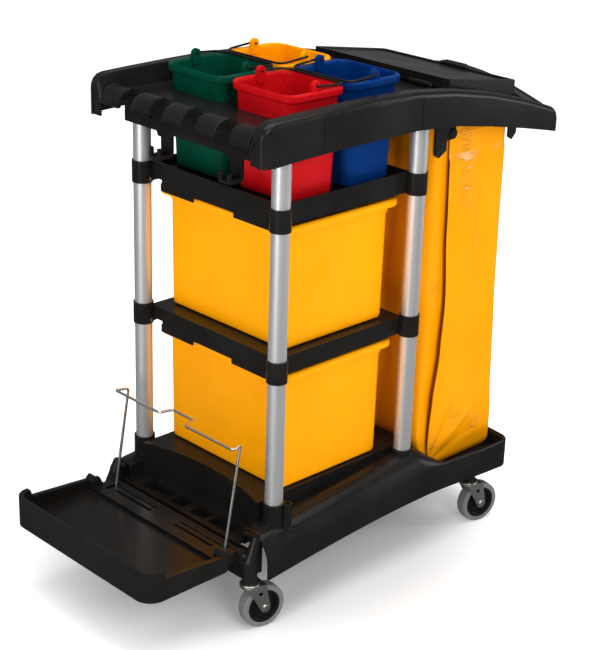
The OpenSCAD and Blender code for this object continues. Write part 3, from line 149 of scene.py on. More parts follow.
def object_of(bm, name, smooth=False):
    mesh = bpy.data.meshes.new(name)
    for face in bm.faces:
        face.smooth = smooth
    bm.to_mesh(mesh)
    bm.free()
    obj = bpy.data.objects.new(name, mesh)
    bpy.context.scene.collection.objects.link(obj)
    return obj


def edges_of(verts):
    return list({e for v in verts for e in v.link_edges})


def merged_copy(node):
    """A bmesh of a CAD node with its loose triangles joined and its flat faces whole."""
    bm = bmesh.new()
    bm.from_mesh(NODES[node].data)
    bmesh.ops.remove_doubles(bm, verts=bm.verts, dist=MERGE_GAP * MM)
    bmesh.ops.dissolve_limit(bm, angle_limit=FLAT_ANGLE, verts=bm.verts, edges=bm.edges)
    return bm


def is_sharp(edge):
    return len(edge.link_faces) == 2 and edge.calc_face_angle() > SHARP_ANGLE


def rounded_node(node, width):
    """The node's own shape with its sharp edges rounded, as a moulded or pressed piece has them."""
    bm = merged_copy(node)
    sharp = [e for e in bm.edges if is_sharp(e)]
    bmesh.ops.bevel(bm, geom=sharp, offset=width * MM, offset_type="OFFSET",
                    segments=ROUNDING_SEGMENTS, profile=0.5, affect="EDGES",
                    clamp_overlap=True, material=-1)
    obj = object_of(bm, "look_" + node, smooth=True)
    even = obj.modifiers.new("even", "WEIGHTED_NORMAL")
    even.keep_sharp = True
    stands_for(obj, node)
    return obj


def rounded_block(bm, size, place, round_by, segments):
    """A block with rounded edges."""
    block = bmesh.ops.create_cube(bm, size=1)["verts"]
    bmesh.ops.scale(bm, vec=Vector(size) * MM, verts=block)
    bmesh.ops.translate(bm, vec=Vector(place) * MM, verts=block)
    bmesh.ops.bevel(bm, geom=edges_of(block), offset=round_by * MM, segments=segments,
                    profile=0.5, affect="EDGES", material=-1)


def trim_piece(bm, name, node, finish, smooth=False):
    """A small piece of trim that moves with a node's body and has its finish."""
    obj = object_of(bm, name, smooth)
    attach(obj, BODY_OF[node])
    obj.data.materials.append(finish)
    return obj


def stands_for(obj, node):
    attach(obj, BODY_OF[node])
    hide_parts(node)


# Shader helpers

def finish_tree(name):
    material = bpy.data.materials.new(name)
    material.use_nodes = True
    tree = material.node_tree
    return material, tree, tree.nodes["Principled BSDF"]


def group_tree(name, inputs, outputs):
    """A node group; an input is a name, a kind and its first value, and an output a number."""
    tree = bpy.data.node_groups.new(name, "ShaderNodeTree")
    for socket, kind, value in inputs:
        made = tree.interface.new_socket(socket, in_out="INPUT", socket_type=kind)
        if value is not None:
            made.default_value = value
    for socket in outputs:
        tree.interface.new_socket(socket, in_out="OUTPUT", socket_type="NodeSocketFloat")
    return tree, tree.nodes.new("NodeGroupInput").outputs, tree.nodes.new("NodeGroupOutput").inputs


def put(tree, kind, links=(), **values):
    """Adds a node, sets its properties and joins its named inputs."""
    node = tree.nodes.new(kind)
    for key, value in values.items():
        setattr(node, key, value)
    for socket, source in dict(links).items():
        if hasattr(source, "is_linked"):
            tree.links.new(source, node.inputs[socket])
        else:
            node.inputs[socket].default_value = source
    return node


def math_node(tree, operation, first, second=0.0, third=0.0):
    sockets = {0: first, 1: second, 2: third}
    return put(tree, "ShaderNodeMath", sockets, operation=operation).outputs[0]


def ramp(tree, value, low, high, to_low=0.0, to_high=1.0):
    sockets = {"Value": value, "From Min": low, "From Max": high,
               "To Min": to_low, "To Max": to_high}
    node = put(tree, "ShaderNodeMapRange", sockets, interpolation_type="SMOOTHSTEP")
    return node.outputs["Result"]


def tint(tree, share, first, second):
    """Mixes two colours, each a value or a node's output."""
    node = put(tree, "ShaderNodeMix", data_type="RGBA")
    tree.links.new(share, node.inputs["Factor"])
    for socket, value in ((node.inputs[6], first), (node.inputs[7], second)):
        if hasattr(value, "is_linked"):
            tree.links.new(value, socket)
        else:
            socket.default_value = (*value, 1)
    return node.outputs[2]


def object_place(tree):
    return put(tree, "ShaderNodeTexCoord").outputs["Object"]


def stretched(tree, where, scale, turn=(0, 0, 0)):
    sockets = {"Vector": where, "Rotation": turn, "Scale": scale}
    return put(tree, "ShaderNodeMapping", sockets).outputs["Vector"]


def speckle(tree, where, scale, detail, **more):
    sockets = {"Vector": where, "Scale": scale, "Detail": detail, **more}
    return put(tree, "ShaderNodeTexNoise", sockets).outputs["Fac"]


def relief(tree, height, strength, distance, **more):
    sockets = {"Height": height, "Strength": strength, "Distance": distance * MM, **more}
    return put(tree, "ShaderNodeBump", sockets).outputs["Normal"]


# Finishes

GRAIN_SCALE = 900.0
SCUFF_TURN = (0.4, 0.9, 0.5)
SCUFF_STRETCH = (14.0, 260.0, 260.0)
SCUFF_DULL = 0.25
SPREAD = (0.3, 0.7)
DULL_SPREAD = (0.3, 0.72)
GRAIN_DEPTH = 0.2
CLOTH_COLOURS = ((0.87, 0.315, 0.001), (0.92, 0.345, 0.001))
# Painted shade: the dark brown the cloth is mixed to inside its long fold
CLOTH_FOLD_SHADE = (0.3, 0.09, 0.002)
CLOTH_ROUGH = (0.16, 0.24)
# Coat where the cloth is smooth, and what a crinkle adds
CLOTH_COAT, CRINKLE_COAT = 0.03, 0.95
CRINKLE_STRETCH = (26, 26, 95)
METAL_SHADE = 0.94


def grain_group():
    """Fine moulded grain, and broad blotches of tone."""
    inputs = [("Vector", "NodeSocketVector", None), ("Scale", "NodeSocketFloat", 1.0)]
    tree, given, out = group_tree("moulded grain", inputs, ("Height", "Blotch"))
    scale = math_node(tree, "MULTIPLY", given["Scale"], GRAIN_SCALE)
    fine = speckle(tree, given["Vector"], scale, 3.0, Roughness=0.6)
    tree.links.new(fine, out["Height"])
    tree.links.new(speckle(tree, given["Vector"], 9.0, 4.0), out["Blotch"])
    return tree


def scuff_group():
    """Short slanting scuffs, in patches."""
    inputs = [("Vector", "NodeSocketVector", None), ("Amount", "NodeSocketFloat", 0.5)]
    tree, given, out = group_tree("scuffs", inputs, ("Mask",))
    slanted = stretched(tree, given["Vector"], SCUFF_STRETCH, SCUFF_TURN)
    streak = ramp(tree, speckle(tree, slanted, 1.0, 2.0), 0.66, 0.74)
    where = ramp(tree, speckle(tree, given["Vector"], 7.0, 2.0), 0.52, 0.68)
    mask = math_node(tree, "MULTIPLY", streak, where)
    tree.links.new(math_node(tree, "MULTIPLY", mask, given["Amount"]), out["Mask"])
    return tree


GRAIN = grain_group()
SCUFFS = scuff_group()


def place_group(tree, group, vector, **values):
    node = put(tree, "ShaderNodeGroup", node_tree=group)
    tree.links.new(vector, node.inputs["Vector"])
    for socket, value in values.items():
        node.inputs[socket].default_value = value
    return node.outputs


def plastic(name, colour, deep, rough, bump, scuffs, gloss=0.5, grain=1.0, pale=(0.4, 0.4, 0.4)):
    """Moulded plastic: two tones in blotches, a fine grain and pale scuffs."""
    material, tree, shader = finish_tree(name)
    where = object_place(tree)
    moulded = place_group(tree, GRAIN, where, Scale=grain)
    worn = place_group(tree, SCUFFS, where, Amount=scuffs)["Mask"]
    base = tint(tree, ramp(tree, moulded["Blotch"], *SPREAD), deep, colour)
    tree.links.new(tint(tree, worn, base, pale), shader.inputs["Base Color"])
    dull = ramp(tree, moulded["Blotch"], *DULL_SPREAD, *rough)
    duller = math_node(tree, "MULTIPLY", worn, SCUFF_DULL)
    tree.links.new(math_node(tree, "ADD", dull, duller), shader.inputs["Roughness"])
    grained = relief(tree, moulded["Height"], bump, GRAIN_DEPTH)
    tree.links.new(grained, shader.inputs["Normal"])
    shader.inputs["IOR"].default_value = 1.5
    shader.inputs["Specular IOR Level"].default_value = gloss
    return material


def pail_plastic(name, colour, deep, pale):
    return plastic(name, colour, deep, (0.22, 0.32), 0.03, 0.15, gloss=0.05, pale=pale)


def floor_paint():
    """A pale floor that glows as painted light, least under the cart as a painted shadow, and that
    glossy faces mirror only dimly.
    """
    material, tree, shader = finish_tree("pale floor")
    shader.inputs["Base Color"].default_value = FLOOR_COLOUR
    shader.inputs["Roughness"].default_value = 0.6
    shader.inputs["Specular IOR Level"].default_value = 0.1
    shader.inputs["Emission Color"].default_value = (1, 1, 1, 1)
    away = put(tree, "ShaderNodeVectorMath", {0: object_place(tree)}, operation="LENGTH")
    # Painted shadow and light: the glow is least under the cart and grows away from it
    glow = ramp(tree, away.outputs["Value"], *FLOOR_GLOW_REACH, *FLOOR_GLOW)
    tree.links.new(glow, shader.inputs["Emission Strength"])
    mirrored = put(tree, "ShaderNodeLightPath").outputs["Is Glossy Ray"]
    share = math_node(tree, "MULTIPLY", mirrored, FLOOR_DIMMED)
    dim = put(tree, "ShaderNodeBsdfDiffuse", {"Color": FLOOR_DIM}).outputs["BSDF"]
    either = put(tree, "ShaderNodeMixShader", {0: share, 1: shader.outputs["BSDF"], 2: dim})
    surface = tree.nodes["Material Output"].inputs["Surface"]
    tree.links.new(either.outputs["Shader"], surface)
    return material


def coated_cloth():
    """The bag's cloth: painted shade darkens it inside its long fold, with a glossy coat where it is
    crinkled.
    """
    material, tree, shader = finish_tree("coated yellow cloth")
    where = object_place(tree)
    broad = speckle(tree, where, 5.0, 3.0)
    weave = speckle(tree, where, 700.0, 2.0)
    wrinkle = speckle(tree, where, 28.0, 4.0, Distortion=0.6)
    # Painted shade: this mask mixes the cloth towards a dark brown inside the long fold
    deep = put(tree, "ShaderNodeAttribute", attribute_name="fold_shade").outputs["Fac"]
    crinkled = put(tree, "ShaderNodeAttribute", attribute_name="crinkle").outputs["Fac"]
    open_cloth = tint(tree, ramp(tree, broad, *SPREAD), *CLOTH_COLOURS)
    tree.links.new(tint(tree, deep, open_cloth, CLOTH_FOLD_SHADE), shader.inputs["Base Color"])
    tree.links.new(ramp(tree, broad, *SPREAD, *CLOTH_ROUGH), shader.inputs["Roughness"])
    coat = math_node(tree, "MULTIPLY_ADD", crinkled, CRINKLE_COAT, CLOTH_COAT)
    tree.links.new(coat, shader.inputs["Coat Weight"])
    shader.inputs["Coat Roughness"].default_value = 0.12
    shader.inputs["Specular IOR Level"].default_value = 0.05
    fine = relief(tree, weave, 0.08, 0.3)
    soft = relief(tree, wrinkle, 0.25, 3, Normal=fine)
    level = stretched(tree, where, CRINKLE_STRETCH)
    sharp = speckle(tree, level, 1.0, 1.5, Distortion=0.7)
    ridged = math_node(tree, "ABSOLUTE", math_node(tree, "SUBTRACT", sharp, 0.5))
    folded = math_node(tree, "MULTIPLY", ridged, crinkled)
    tree.links.new(relief(tree, folded, 0.9, 14, Normal=soft), shader.inputs["Normal"])
    return material


def metal(name, colour, rough, lines, bump, bare=1.0):
    """Metal with streaks along its drawn direction."""
    material, tree, shader = finish_tree(name)
    streaks = speckle(tree, stretched(tree, object_place(tree), lines), 1.0, 4.0)
    shader.inputs["Metallic"].default_value = bare
    darker = tuple(c * METAL_SHADE for c in colour)
    tree.links.new(tint(tree, streaks, darker, colour), shader.inputs["Base Color"])
    tree.links.new(ramp(tree, streaks, *SPREAD, *rough), shader.inputs["Roughness"])
    tree.links.new(relief(tree, streaks, bump, 0.1), shader.inputs["Normal"])
    return material


FINISHES = {
    "black_plastic": plastic("satin black plastic", (0.0115, 0.0108, 0.01), (0.0085, 0.008, 0.0075),
                             (0.22, 0.33), 0.06, 0.35, gloss=0.19, pale=(0.06, 0.058, 0.055)),
    "yellow_plastic": plastic("yellow plastic", (0.95, 0.365, 0.001), (0.92, 0.345, 0.001),
                              (0.34, 0.44), 0.03, 0.15, gloss=0.03, pale=(0.9, 0.55, 0.1)),
    "red_plastic": pail_plastic("red plastic", (0.58, 0.006, 0.01), (0.5, 0.004, 0.007),
                                (0.6, 0.15, 0.15)),
    "green_plastic": pail_plastic("green plastic", (0.001, 0.062, 0.036), (0.001, 0.05, 0.028),
                                  (0.1, 0.25, 0.18)),
    "blue_plastic": pail_plastic("blue plastic", (0.001, 0.034, 0.18), (0.001, 0.028, 0.15),
                                 (0.1, 0.2, 0.4)),
    "coated_fabric": coated_cloth(),
    "zinc": metal("zinc plate", (0.86, 0.86, 0.83), (0.26, 0.36), (24, 24, 24), 0.02),
    "alloy": metal("drawn alloy", (0.92, 0.93, 0.95), (0.42, 0.48), (160, 160, 2), 0.015, bare=0.86),
    "grey_tyre": plastic("grey rubber", (0.17, 0.175, 0.19), (0.14, 0.145, 0.155),
                         (0.55, 0.7), 0.1, 0.3, pale=(0.3, 0.3, 0.31)),
}

TRIM_FINISHES = {
    "zip_tape": plastic("zip tape", (0.014, 0.0135, 0.013), (0.009, 0.009, 0.009),
                        (0.62, 0.78), 0.4, 0.1, gloss=0.15, grain=1.6, pale=(0.05, 0.05, 0.05)),
    "zip_teeth": plastic("zip teeth", (0.02, 0.02, 0.021), (0.012, 0.012, 0.012),
                         (0.3, 0.42), 0.05, 0.2, gloss=0.3, pale=(0.08, 0.08, 0.08)),
    "thread": plastic("yellow thread", (0.78, 0.27, 0.002), (0.66, 0.21, 0.002),
                      (0.5, 0.65), 0.3, 0.0, gloss=0.1, grain=2.2),
}


# Bag: a sewn sack that stands in the tray, swells over the deck and hangs from the hood

BAG_COLUMNS = {"near": 112, "rear": 44, "far": 40, "front": 40}
BAG_AROUND = sum(BAG_COLUMNS.values())
BAG_ROWS = 176
BAG_WALL = 1.2
BAG_LOW, BAG_TOP = 176.3, 1028
# Low and high values of a size, and the heights between which it changes
BAG_FRONT, BAG_FRONT_Z = (262, 233), (190, 280)
BAG_REAR, BAG_REAR_Z = (514, 504), (230, 650)
BAG_HALF, BAG_HALF_Z = (219, 214), (400, 900)
BAG_CORNER, BAG_CORNER_Z = (16, 24), (260, 360)
BAG_TUCK, BAG_TUCK_Z = 20, (BAG_LOW - 20, BAG_LOW + 20)
BAG_HEM = 34
BAG_HEM_GROOVE = 0.6
BAG_HEM_CLEAR, BAG_HEM_Z = 1.6, (930, 950)
# How far the cloth may stand out, and between which heights it may
BAG_RELIEF = 7
BAG_RELIEF_Z = {"near": (216, 280), "rear": (216, 280), "far": (216, 280), "front": (300, 380)}
BAG_RELIEF_END_Z = (925, 950)
CORNER_LEAN = math.radians(45)
# Long fold of the near side, by height: its place and its depth
FOLD_COLUMN = 33
FOLD_PLACE = [(176, 281), (256, 281), (360, 288), (483, 303),
              (610, 311), (778, 305), (956, 300), (1028, 299)]
FOLD_DEPTH = [(176, 1), (205, 2), (256, 6), (360, 11), (483, 11),
              (610, 9), (778, 7), (956, 6), (1028, 4)]
FOLD_CORNER = 14
FOLD_LAP, FOLD_UNDER, FOLD_LAP_Z = 4, 7, (190, 250)
# Soft upright ridge beside the long fold, by height
RIDGE_PLACE = [(176, 390), (463, 375), (641, 368), (837, 359), (1028, 353)]
# Creases that fan out from the near foot: angle and height
FAN_X, FAN_Z = 276, 190
FAN_CREASES = ((20, -4), (38, 8), (55, -5), (70, 4), (84, -2))
# Folds of the front and rear panels: place, width and depth
PANEL_FOLDS = ((-96, 13, 7), (8, 9, 9), (112, 16, 6))
# Crinkled spots of the near side: x, z and spread
BAG_CRINKLES = [(272, 640, 20), (372, 290, 26), (300, 240, 18), (440, 250, 22)]


def fade(value, start, end):
    """Runs smoothly from 0 at start to 1 at end."""
    t = min(max((value - start) / (end - start), 0), 1)
    return t * t * (3 - 2 * t)


def shift(sizes, share):
    return sizes[0] + (sizes[1] - sizes[0]) * share


def between(points, level):
    """Value at a height, from a list of heights and values."""
    for (low, first), (high, second) in zip(points, points[1:]):
        if level <= high:
            return shift((first, second), fade(level, low, high))
    return points[-1][1]


def bump(value, middle, width):
    return math.exp(-((value - middle) / width) ** 2)


def ripple(x, y, z, seed):
    return noise.noise(Vector((x, y, z + seed * 17.3)))


def bag_size(z):
    """Front, rear and half width of the bag at a height."""
    tuck = BAG_TUCK * (1 - fade(z, *BAG_TUCK_Z))
    front = shift(BAG_FRONT, fade(z, *BAG_FRONT_Z))
    rear = shift(BAG_REAR, fade(z, *BAG_REAR_Z))
    half = shift(BAG_HALF, fade(z, *BAG_HALF_Z))
    return front + tuck, rear - tuck, half - tuck


def fold_place(z):
    """The long fold's x at a height, clear of the bag's rounded corner."""
    return max(between(FOLD_PLACE, z), bag_size(z)[0] + FOLD_CORNER)


def side_relief(x, z, left, seed):
    """How far a side panel stands out: the long fold, the ridge beside it, creases and ripples."""
    fold, ridge = fold_place(z), between(RIDGE_PLACE, z)
    if left:
        out = -between(FOLD_DEPTH, z) * (1 - fade(fold - x, 0, 58))
        out += 2.4 * bump(x, fold - 26, 5) * fade(z, 560, 760)
    else:
        out = 1.5 * math.exp((fold - x) / 9)
        out += 5 * bump(x, ridge, 44) * fade(z, 260, 420)
        out -= 5 * bump(x, ridge + 62, 22) * fade(z, 420, 700)
    out += 3.2 * ripple(x / 95, z / 260, 0, seed) + 1.1 * ripple(x / 26, z / 90, 4, seed)
    crumple = bump(x, ridge - 4, 20) * fade(z, 800, 870)
    out += 3.2 * crumple * ripple(x / 26, z / 11, 8, seed)
    reach = math.hypot(x - FAN_X, z - FAN_Z)
    turn = math.degrees(math.atan2(z - FAN_Z, x - FAN_X))
    for angle, height in FAN_CREASES:
        out += height * bump(turn, angle, 5) * fade(reach, 12, 50) * (1 - fade(reach, 110, 250))
    return out


def panel_relief(along, z, seed):
    """Soft upright folds of the front and rear panels."""
    out = 8 * ripple(along / 75, z / 420, 1, seed) + 2.2 * ripple(along / 24, z / 130, 2, seed)
    for middle, width, depth in PANEL_FOLDS:
        sway = 20 * ripple(z / 300, middle, 3, seed)
        out -= depth * bump(along, middle + sway, width) * fade(z, 300, 520)
    return out


def cornered(distance, length, corner):
    """Place along a side, step in from it at its rounded ends, and the lean of the normal."""
    end = min(distance, length - distance)
    if end >= corner:
        return distance, 0, 0
    lean = CORNER_LEAN * (1 - end / corner)
    along = corner * (1 - math.sin(lean))
    inset = corner * (1 - math.cos(lean))
    return (along if distance < length / 2 else length - along), inset, lean


def near_distance(column, z, front, length):
    """Way along the near side to a column; the cloth behind the long fold laps over it."""
    fold = fold_place(z) - front
    lapped = fade(z, *FOLD_LAP_Z)
    if column <= FOLD_COLUMN:
        return (fold + FOLD_UNDER * lapped) * column / FOLD_COLUMN
    share = (column - FOLD_COLUMN - 1) / (BAG_COLUMNS["near"] - FOLD_COLUMN - 1)
    return shift((fold - FOLD_LAP * lapped, length), share)


def bag_point(column, z, lift=0):
    """A point of the bag's cloth: columns run round from the front near corner, z is its height."""
    front, rear, half = bag_size(z)
    for side, count in BAG_COLUMNS.items():
        if column < count:
            break
        column -= count
    length = rear - front if side in ("near", "far") else 2 * half
    if side == "near":
        distance = near_distance(column, z, front, length)
    else:
        distance = length * (column / BAG_COLUMNS[side])
    along, inset, lean = cornered(distance, length, shift(BAG_CORNER, fade(z, *BAG_CORNER_Z)))
    across, ahead = math.cos(lean), math.sin(lean)
    if distance < length / 2:
        ahead = -ahead
    if side == "near":
        place, normal = (front + along, inset - half), (ahead, -across)
        out = side_relief(place[0], z, column <= FOLD_COLUMN, 1)
    elif side == "rear":
        place, normal = (rear - inset, along - half), (across, ahead)
        out = panel_relief(place[1], z, 2)
    elif side == "far":
        place, normal = (rear - along, half - inset), (-ahead, across)
        out = side_relief(place[0], z, False, 3)
    else:
        place, normal = (front + inset, half - along), (-across, -ahead)
        out = panel_relief(place[1], z, 4)
    out *= 1 - fade(lean, 0.3, CORNER_LEAN) * 0.75
    room = BAG_RELIEF * fade(z, *BAG_RELIEF_Z[side]) * (1 - fade(z, *BAG_RELIEF_END_Z))
    room -= BAG_HEM_CLEAR * fade(z, *BAG_HEM_Z)
    out = min(out, room) * fade(z, BAG_LOW, BAG_LOW + 30) + lift
    if z > BAG_TOP - BAG_HEM:
        out -= BAG_HEM_GROOVE * bump(z, BAG_TOP - BAG_HEM + 2, 2)
    return Vector((place[0] + normal[0] * out, place[1] + normal[1] * out, z)) * MM


def bag_marks(column, z):
    """How much painted shade darkens the cloth in the long fold, and how crinkled the cloth is, at a
    point of the near side.
    """
    if column > BAG_COLUMNS["near"]:
        return 0, 0
    x = bag_point(column, z).x / MM
    deep = 0
    # Painted shade: dark along the long fold's line, fading out 9 mm into the cloth behind it, and
    # fading in above the foot
    if column <= FOLD_COLUMN:
        deep = (1 - fade(fold_place(z) - x, -2, 9)) * fade(z, 186, 215)
    crinkle = bump(x, between(RIDGE_PLACE, z) - 4, 22) * fade(z, 790, 860)
    for place, level, spread in BAG_CRINKLES:
        crinkle += bump(math.hypot(x - place, z - level), 0, spread)
    return deep, min(crinkle, 1)


def bag():
    """The bag's cloth: a ring extruded row by row, then laid on the bag's shape."""
    bm = bmesh.new()
    # The first layer holds the painted shade of the long fold; the second, the crinkle that drives
    # coat and bumps
    marks = [bm.verts.layers.float.new(name) for name in ("fold_shade", "crinkle")]
    bmesh.ops.create_circle(bm, cap_ends=True, segments=BAG_AROUND, radius=1)
    rim = list(bm.edges)
    for _ in range(BAG_ROWS):
        made = bmesh.ops.extrude_edge_only(bm, edges=rim)["geom"]
        top = {v for v in made if isinstance(v, bmesh.types.BMVert)}
        bmesh.ops.translate(bm, verts=list(top), vec=(0, 0, 1))
        rim = [e for e in made if isinstance(e, bmesh.types.BMEdge) and set(e.verts) <= top]
    column_of = {}
    for v in bm.verts:
        turns = math.atan2(v.co.y, v.co.x) / math.tau
        column_of[v] = round(turns * BAG_AROUND) % BAG_AROUND
    for v, column in column_of.items():
        level = BAG_LOW + (BAG_TOP - BAG_LOW) * v.co.z / BAG_ROWS
        v.co = bag_point(column, level)
        for layer, value in zip(marks, bag_marks(column, level)):
            v[layer] = value
    bmesh.ops.recalc_face_normals(bm, faces=bm.faces)
    bmesh.ops.reverse_faces(bm, faces=bm.faces)
    for edge in bm.edges:
        ends = {column_of[v] for v in edge.verts}
        edge.smooth = ends not in ({FOLD_COLUMN}, {FOLD_COLUMN + 1})
    cloth = object_of(bm, "bag_cloth", smooth=True)
    wall = cloth.modifiers.new("wall", "SOLIDIFY")
    wall.thickness = BAG_WALL * MM
    wall.offset = -1
    stands_for(cloth, "bag")
    cloth.data.materials.append(FINISHES["coated_fabric"])


# Zip, stitches and eyelets of the bag

ZIP_COLUMNS = (BAG_COLUMNS["near"] + 1.2, BAG_COLUMNS["near"] + 3.0)
ZIP_LEVELS = (250, 900)
ZIP_PITCH = 4.2
ZIP_TAPE_GRID = (4, 150)
ZIP_TAPE_THICK, ZIP_TAPE_LIFT = 0.8, 0.9
ZIP_TOOTH, ZIP_TOOTH_LIFT = (1.8, 4, 1.7), 1.6
# Each tooth steps this part of a column to one side or the other
ZIP_TOOTH_STEP = 0.12
ZIP_SLIDER_Z, ZIP_SLIDER_LIFT = 335, 2.6
# Size and place of the slider's body, its loop and its pull
ZIP_SLIDER = (((4, 9, 12), (0, 0, 0)), ((2.4, 6, 8), (2.8, 0, 0)), ((1.8, 8, 30), (4, 0, -17)))
# Stitch rows above the hem's edge; a stitch's pitch in columns and the part of it that shows
STITCH_ROWS = (6, 11)
STITCH_PITCH, STITCH_SHOWS = 0.9, 0.62
STITCH_R, STITCH_LIFT = 0.5, 0.5
PEG_HEAD = 9
RING_THICK, RING_BACK = 1.6, 1.4


def cloth_grid(bm, columns, levels, cells, lift):
    """A strip laid on the bag's cloth, between two columns and two heights."""
    grid = bmesh.ops.create_grid(bm, x_segments=cells[0], y_segments=cells[1], size=1)["verts"]
    for v in grid:
        column = shift(columns, (v.co.x + 1) / 2)
        v.co = bag_point(column, shift(levels, (v.co.y + 1) / 2), lift)


def bag_zip():
    """Zip down the bag's rear near edge: its tape, a row of teeth and a slider with its pull."""
    bm = bmesh.new()
    cloth_grid(bm, ZIP_COLUMNS, ZIP_LEVELS, ZIP_TAPE_GRID, ZIP_TAPE_LIFT)
    finish = TRIM_FINISHES["zip_tape"]
    tape = trim_piece(bm, "bag_zip_tape", "bag", finish, smooth=True)
    thick = tape.modifiers.new("wall", "SOLIDIFY")
    thick.thickness = ZIP_TAPE_THICK * MM
    middle = sum(ZIP_COLUMNS) / 2
    bm = bmesh.new()
    for i in range(int((ZIP_LEVELS[1] - ZIP_LEVELS[0]) / ZIP_PITCH)):
        column = middle + (ZIP_TOOTH_STEP if i % 2 else -ZIP_TOOTH_STEP)
        place = bag_point(column, ZIP_LEVELS[0] + i * ZIP_PITCH, ZIP_TOOTH_LIFT) / MM
        rounded_block(bm, ZIP_TOOTH, place, 0.3, 1)
    slider = bag_point(middle, ZIP_SLIDER_Z, ZIP_SLIDER_LIFT) / MM
    for size, place in ZIP_SLIDER:
        rounded_block(bm, size, slider + Vector(place), 0.7, 2)
    trim_piece(bm, "bag_zip_teeth", "bag", TRIM_FINISHES["zip_teeth"])


def bag_stitches():
    """Two rows of stitches along the bag's hem."""
    bm = bmesh.new()
    for row in STITCH_ROWS:
        level = BAG_TOP - BAG_HEM + row
        for i in range(int(BAG_AROUND / STITCH_PITCH)):
            column = i * STITCH_PITCH
            start = bag_point(column, level, STITCH_LIFT)
            end = bag_point(column + STITCH_PITCH * STITCH_SHOWS, level, STITCH_LIFT)
            lie = (end - start).to_track_quat("Z", "Y").to_matrix().to_4x4()
            bmesh.ops.create_cone(bm, cap_ends=True, segments=6, radius1=STITCH_R * MM,
                                  radius2=STITCH_R * MM, depth=(end - start).length,
                                  matrix=Matrix.Translation((start + end) / 2) @ lie)
    trim_piece(bm, "bag_stitches", "bag", TRIM_FINISHES["thread"], smooth=True)


def peg_rings():
    """A ring round each peg's head, where the bag's eyelet is held."""
    low, high = (Vector(corner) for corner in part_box("bag_pegs"))
    bm = bmesh.new()
    for x in (low.x + PEG_HEAD * MM, high.x - PEG_HEAD * MM):
        for y in (low.y + RING_BACK * MM, high.y - RING_BACK * MM):
            centre = Vector((x, y, (low.z + high.z) / 2))
            start = Matrix.Translation(centre + Vector(((PEG_HEAD + RING_THICK) * MM, 0, 0)))
            wire = bmesh.ops.create_circle(bm, segments=10, radius=RING_THICK * MM, matrix=start)
            bmesh.ops.spin(bm, geom=wire["verts"] + edges_of(wire["verts"]), cent=centre,
                           axis=(0, 1, 0), angle=math.tau, steps=36, use_merge=True)
    bmesh.ops.recalc_face_normals(bm, faces=bm.faces)
    trim_piece(bm, "bag_peg_rings", "bag_pegs", FINISHES["black_plastic"], smooth=True)


# Trim of the hood, the shelves and the lid

DECK_Z = 1100
ROLL_REAR, ROLL_LONG, ROLL_FALL = -262.3, 64, 11
NOTCH_X, NOTCH_R, NOTCH_HALF = -288.3, 22, 21.2
NOTCH_YS = (-153, -51, 51, 153)
NOTCH_CLEAR = 0.5
SWELL_Y = 233
SWELL_X, SWELL_Z = -286, 1079
# Reach of a swell's section to the rear and to the front, its height and how full it is
SWELL_REACH = (20, 40.6)
SWELL_H = 36
SWELL_FULL = 0.85
SWELL_TURN = (34, 180)
SWELL_GRID = (18, 16)
SWELL_ROUND = 2
# The part of a swell where it is thick in front, and its thickness there
SWELL_FRONT = (0.7, 1)
SWELL_THICK = 8
SWELL_SINK = 1
APRON_X, APRON_Z = -260.6, 1059
APRON_HALF = 228
APRON_PITCH = 6
APRON_RIB = (2, 2.2, 36)
SHELF_COLLAR_DROP = 2
SKIRT_FACE = (-213.4, -209.6)
SKIRT_ENDS, SKIRT_CUT = (-197, 174), 65
# Lower and upper edge of the skirts and of the bar over the cut, from the shelf's own edge
SKIRT_Z, SKIRT_BAR_Z = (-16, 2), (-5, 17)
PULL_SIZE, PULL_PLACE = (17, 80, 8), (522, -20, 1091)
PULL_BEAD, PULL_BEAD_PLACE = (8.5, 64, 3), (527, -20, 1095)


def roll_z(x):
    """Height of the hood's rolled front."""
    arc = math.sqrt(max(1 - ((x - ROLL_REAR) / ROLL_LONG) ** 2, 0))
    return DECK_Z - ROLL_FALL + ROLL_FALL * arc


def notch_half(x):
    """Half the width of a tool notch, which is open to the front and round at its back."""
    return NOTCH_HALF if x < NOTCH_X else math.sqrt(max(NOTCH_R ** 2 - (x - NOTCH_X) ** 2, 0))


def swell_point(along, share, ends, top):
    """A point of a swell, along its barrel from the rear and across it between its ends."""
    turn = math.radians(shift(SWELL_TURN, along))
    reach = SWELL_REACH[0] if turn < math.pi / 2 else SWELL_REACH[1]
    x = SWELL_X + reach * math.copysign(abs(math.cos(turn)) ** SWELL_FULL, math.cos(turn))
    z = SWELL_Z + SWELL_H * math.sin(turn) ** SWELL_FULL if along < 1 else SWELL_Z
    low, high = ends
    low += notch_half(x) + NOTCH_CLEAR if low in NOTCH_YS else 0
    high -= notch_half(x) + NOTCH_CLEAR if high in NOTCH_YS else 0
    if not top:
        front = fade(along, *SWELL_FRONT)
        x += SWELL_THICK * front
        z = (roll_z(x) - SWELL_SINK) * (1 - front) + SWELL_Z * front
    return Vector((x, shift((low, high), share), z)) * MM


def lip_swells():
    """Barrel-like swells of the hood's rolled front, between its tool notches."""
    bm = bmesh.new()
    stops = (-SWELL_Y, *NOTCH_YS, SWELL_Y)
    for ends in zip(stops, stops[1:]):
        rims = []
        for top in (True, False):
            grid = bmesh.ops.create_grid(bm, x_segments=SWELL_GRID[0], y_segments=SWELL_GRID[1],
                                         size=1)["verts"]
            rims.append([e for e in edges_of(grid) if e.is_boundary])
            for v in grid:
                v.co = swell_point((v.co.x + 1) / 2, (v.co.y + 1) / 2, ends, top)
        bmesh.ops.bridge_loops(bm, edges=rims[0] + rims[1])
        bmesh.ops.bevel(bm, geom=rims[0], offset=SWELL_ROUND * MM, segments=3, profile=0.5,
                        affect="EDGES", clamp_overlap=True, material=-1)
    bmesh.ops.recalc_face_normals(bm, faces=bm.faces)
    trim_piece(bm, "hood_lip_swells", "hood", FINISHES["black_plastic"], smooth=True)


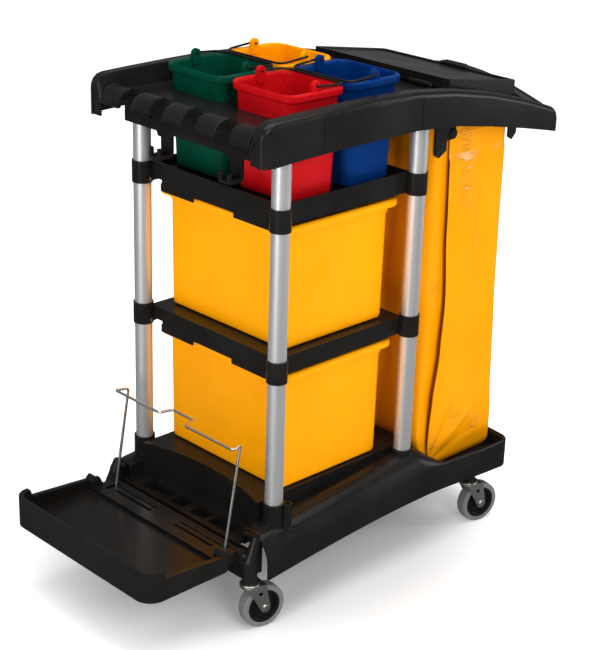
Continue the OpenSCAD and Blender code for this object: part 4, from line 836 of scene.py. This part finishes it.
def apron_ribs():
    """Upright ribs on the apron under the hood's rolled front."""
    bm = bmesh.new()
    for i in range(round(2 * APRON_HALF / APRON_PITCH) + 1):
        rounded_block(bm, APRON_RIB, (APRON_X, i * APRON_PITCH - APRON_HALF, APRON_Z), 0.7, 1)
    trim_piece(bm, "hood_apron_ribs", "hood", FINISHES["black_plastic"])


def shelf_bar(bm, edge, across, heights):
    """A bar in the plane of a shelf's front wall, between two ends and two heights."""
    size = (SKIRT_FACE[1] - SKIRT_FACE[0], abs(across[1] - across[0]), heights[1] - heights[0])
    place = (sum(SKIRT_FACE) / 2, sum(across) / 2, edge + sum(heights) / 2)
    rounded_block(bm, size, place, 0.5, 2)


def shelf_skirts():
    """Deeper front edge of each shelf, cut back in the middle where the bin's rim shows."""
    bm = bmesh.new()
    for shelf in ("middle_shelf", "upper_shelf"):
        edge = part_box(shelf)[0][2] / MM + SHELF_COLLAR_DROP
        for end in SKIRT_ENDS:
            shelf_bar(bm, edge, (math.copysign(SKIRT_CUT, end), end), SKIRT_Z)
        shelf_bar(bm, edge, (-SKIRT_CUT - 0.5, SKIRT_CUT + 0.5), SKIRT_BAR_Z)
    trim_piece(bm, "shelf_skirts", "upper_shelf", FINISHES["black_plastic"])


def lid_pull():
    """Finger lip on the lid's rear edge, with a bead along its top."""
    bm = bmesh.new()
    rounded_block(bm, PULL_SIZE, PULL_PLACE, 2.6, 3)
    rounded_block(bm, PULL_BEAD, PULL_BEAD_PLACE, 1.2, 2)
    trim_piece(bm, "lid_pull", "lid", FINISHES["black_plastic"], smooth=True)


# CAD nodes that keep their own shape, with rounded edges

EDGE_ROUNDING = {"base": 0.8, "hood": 0.8, "platform": 1.0, "lid": 1.0,
                 "middle_shelf": 0.8, "upper_shelf": 0.8}
EDGE_ROUNDING_ELSEWHERE = 0.4


def dress_nodes():
    for node in NODES:
        if node == "bag":
            continue
        obj = rounded_node(node, EDGE_ROUNDING.get(node, EDGE_ROUNDING_ELSEWHERE))
        obj.data.materials.append(FINISHES[SLOT_OF[node]])


make_camera()
make_studio()
bag()
bag_zip()
bag_stitches()
peg_rings()
lip_swells()
apron_ribs()
lid_pull()
shelf_skirts()
dress_nodes()
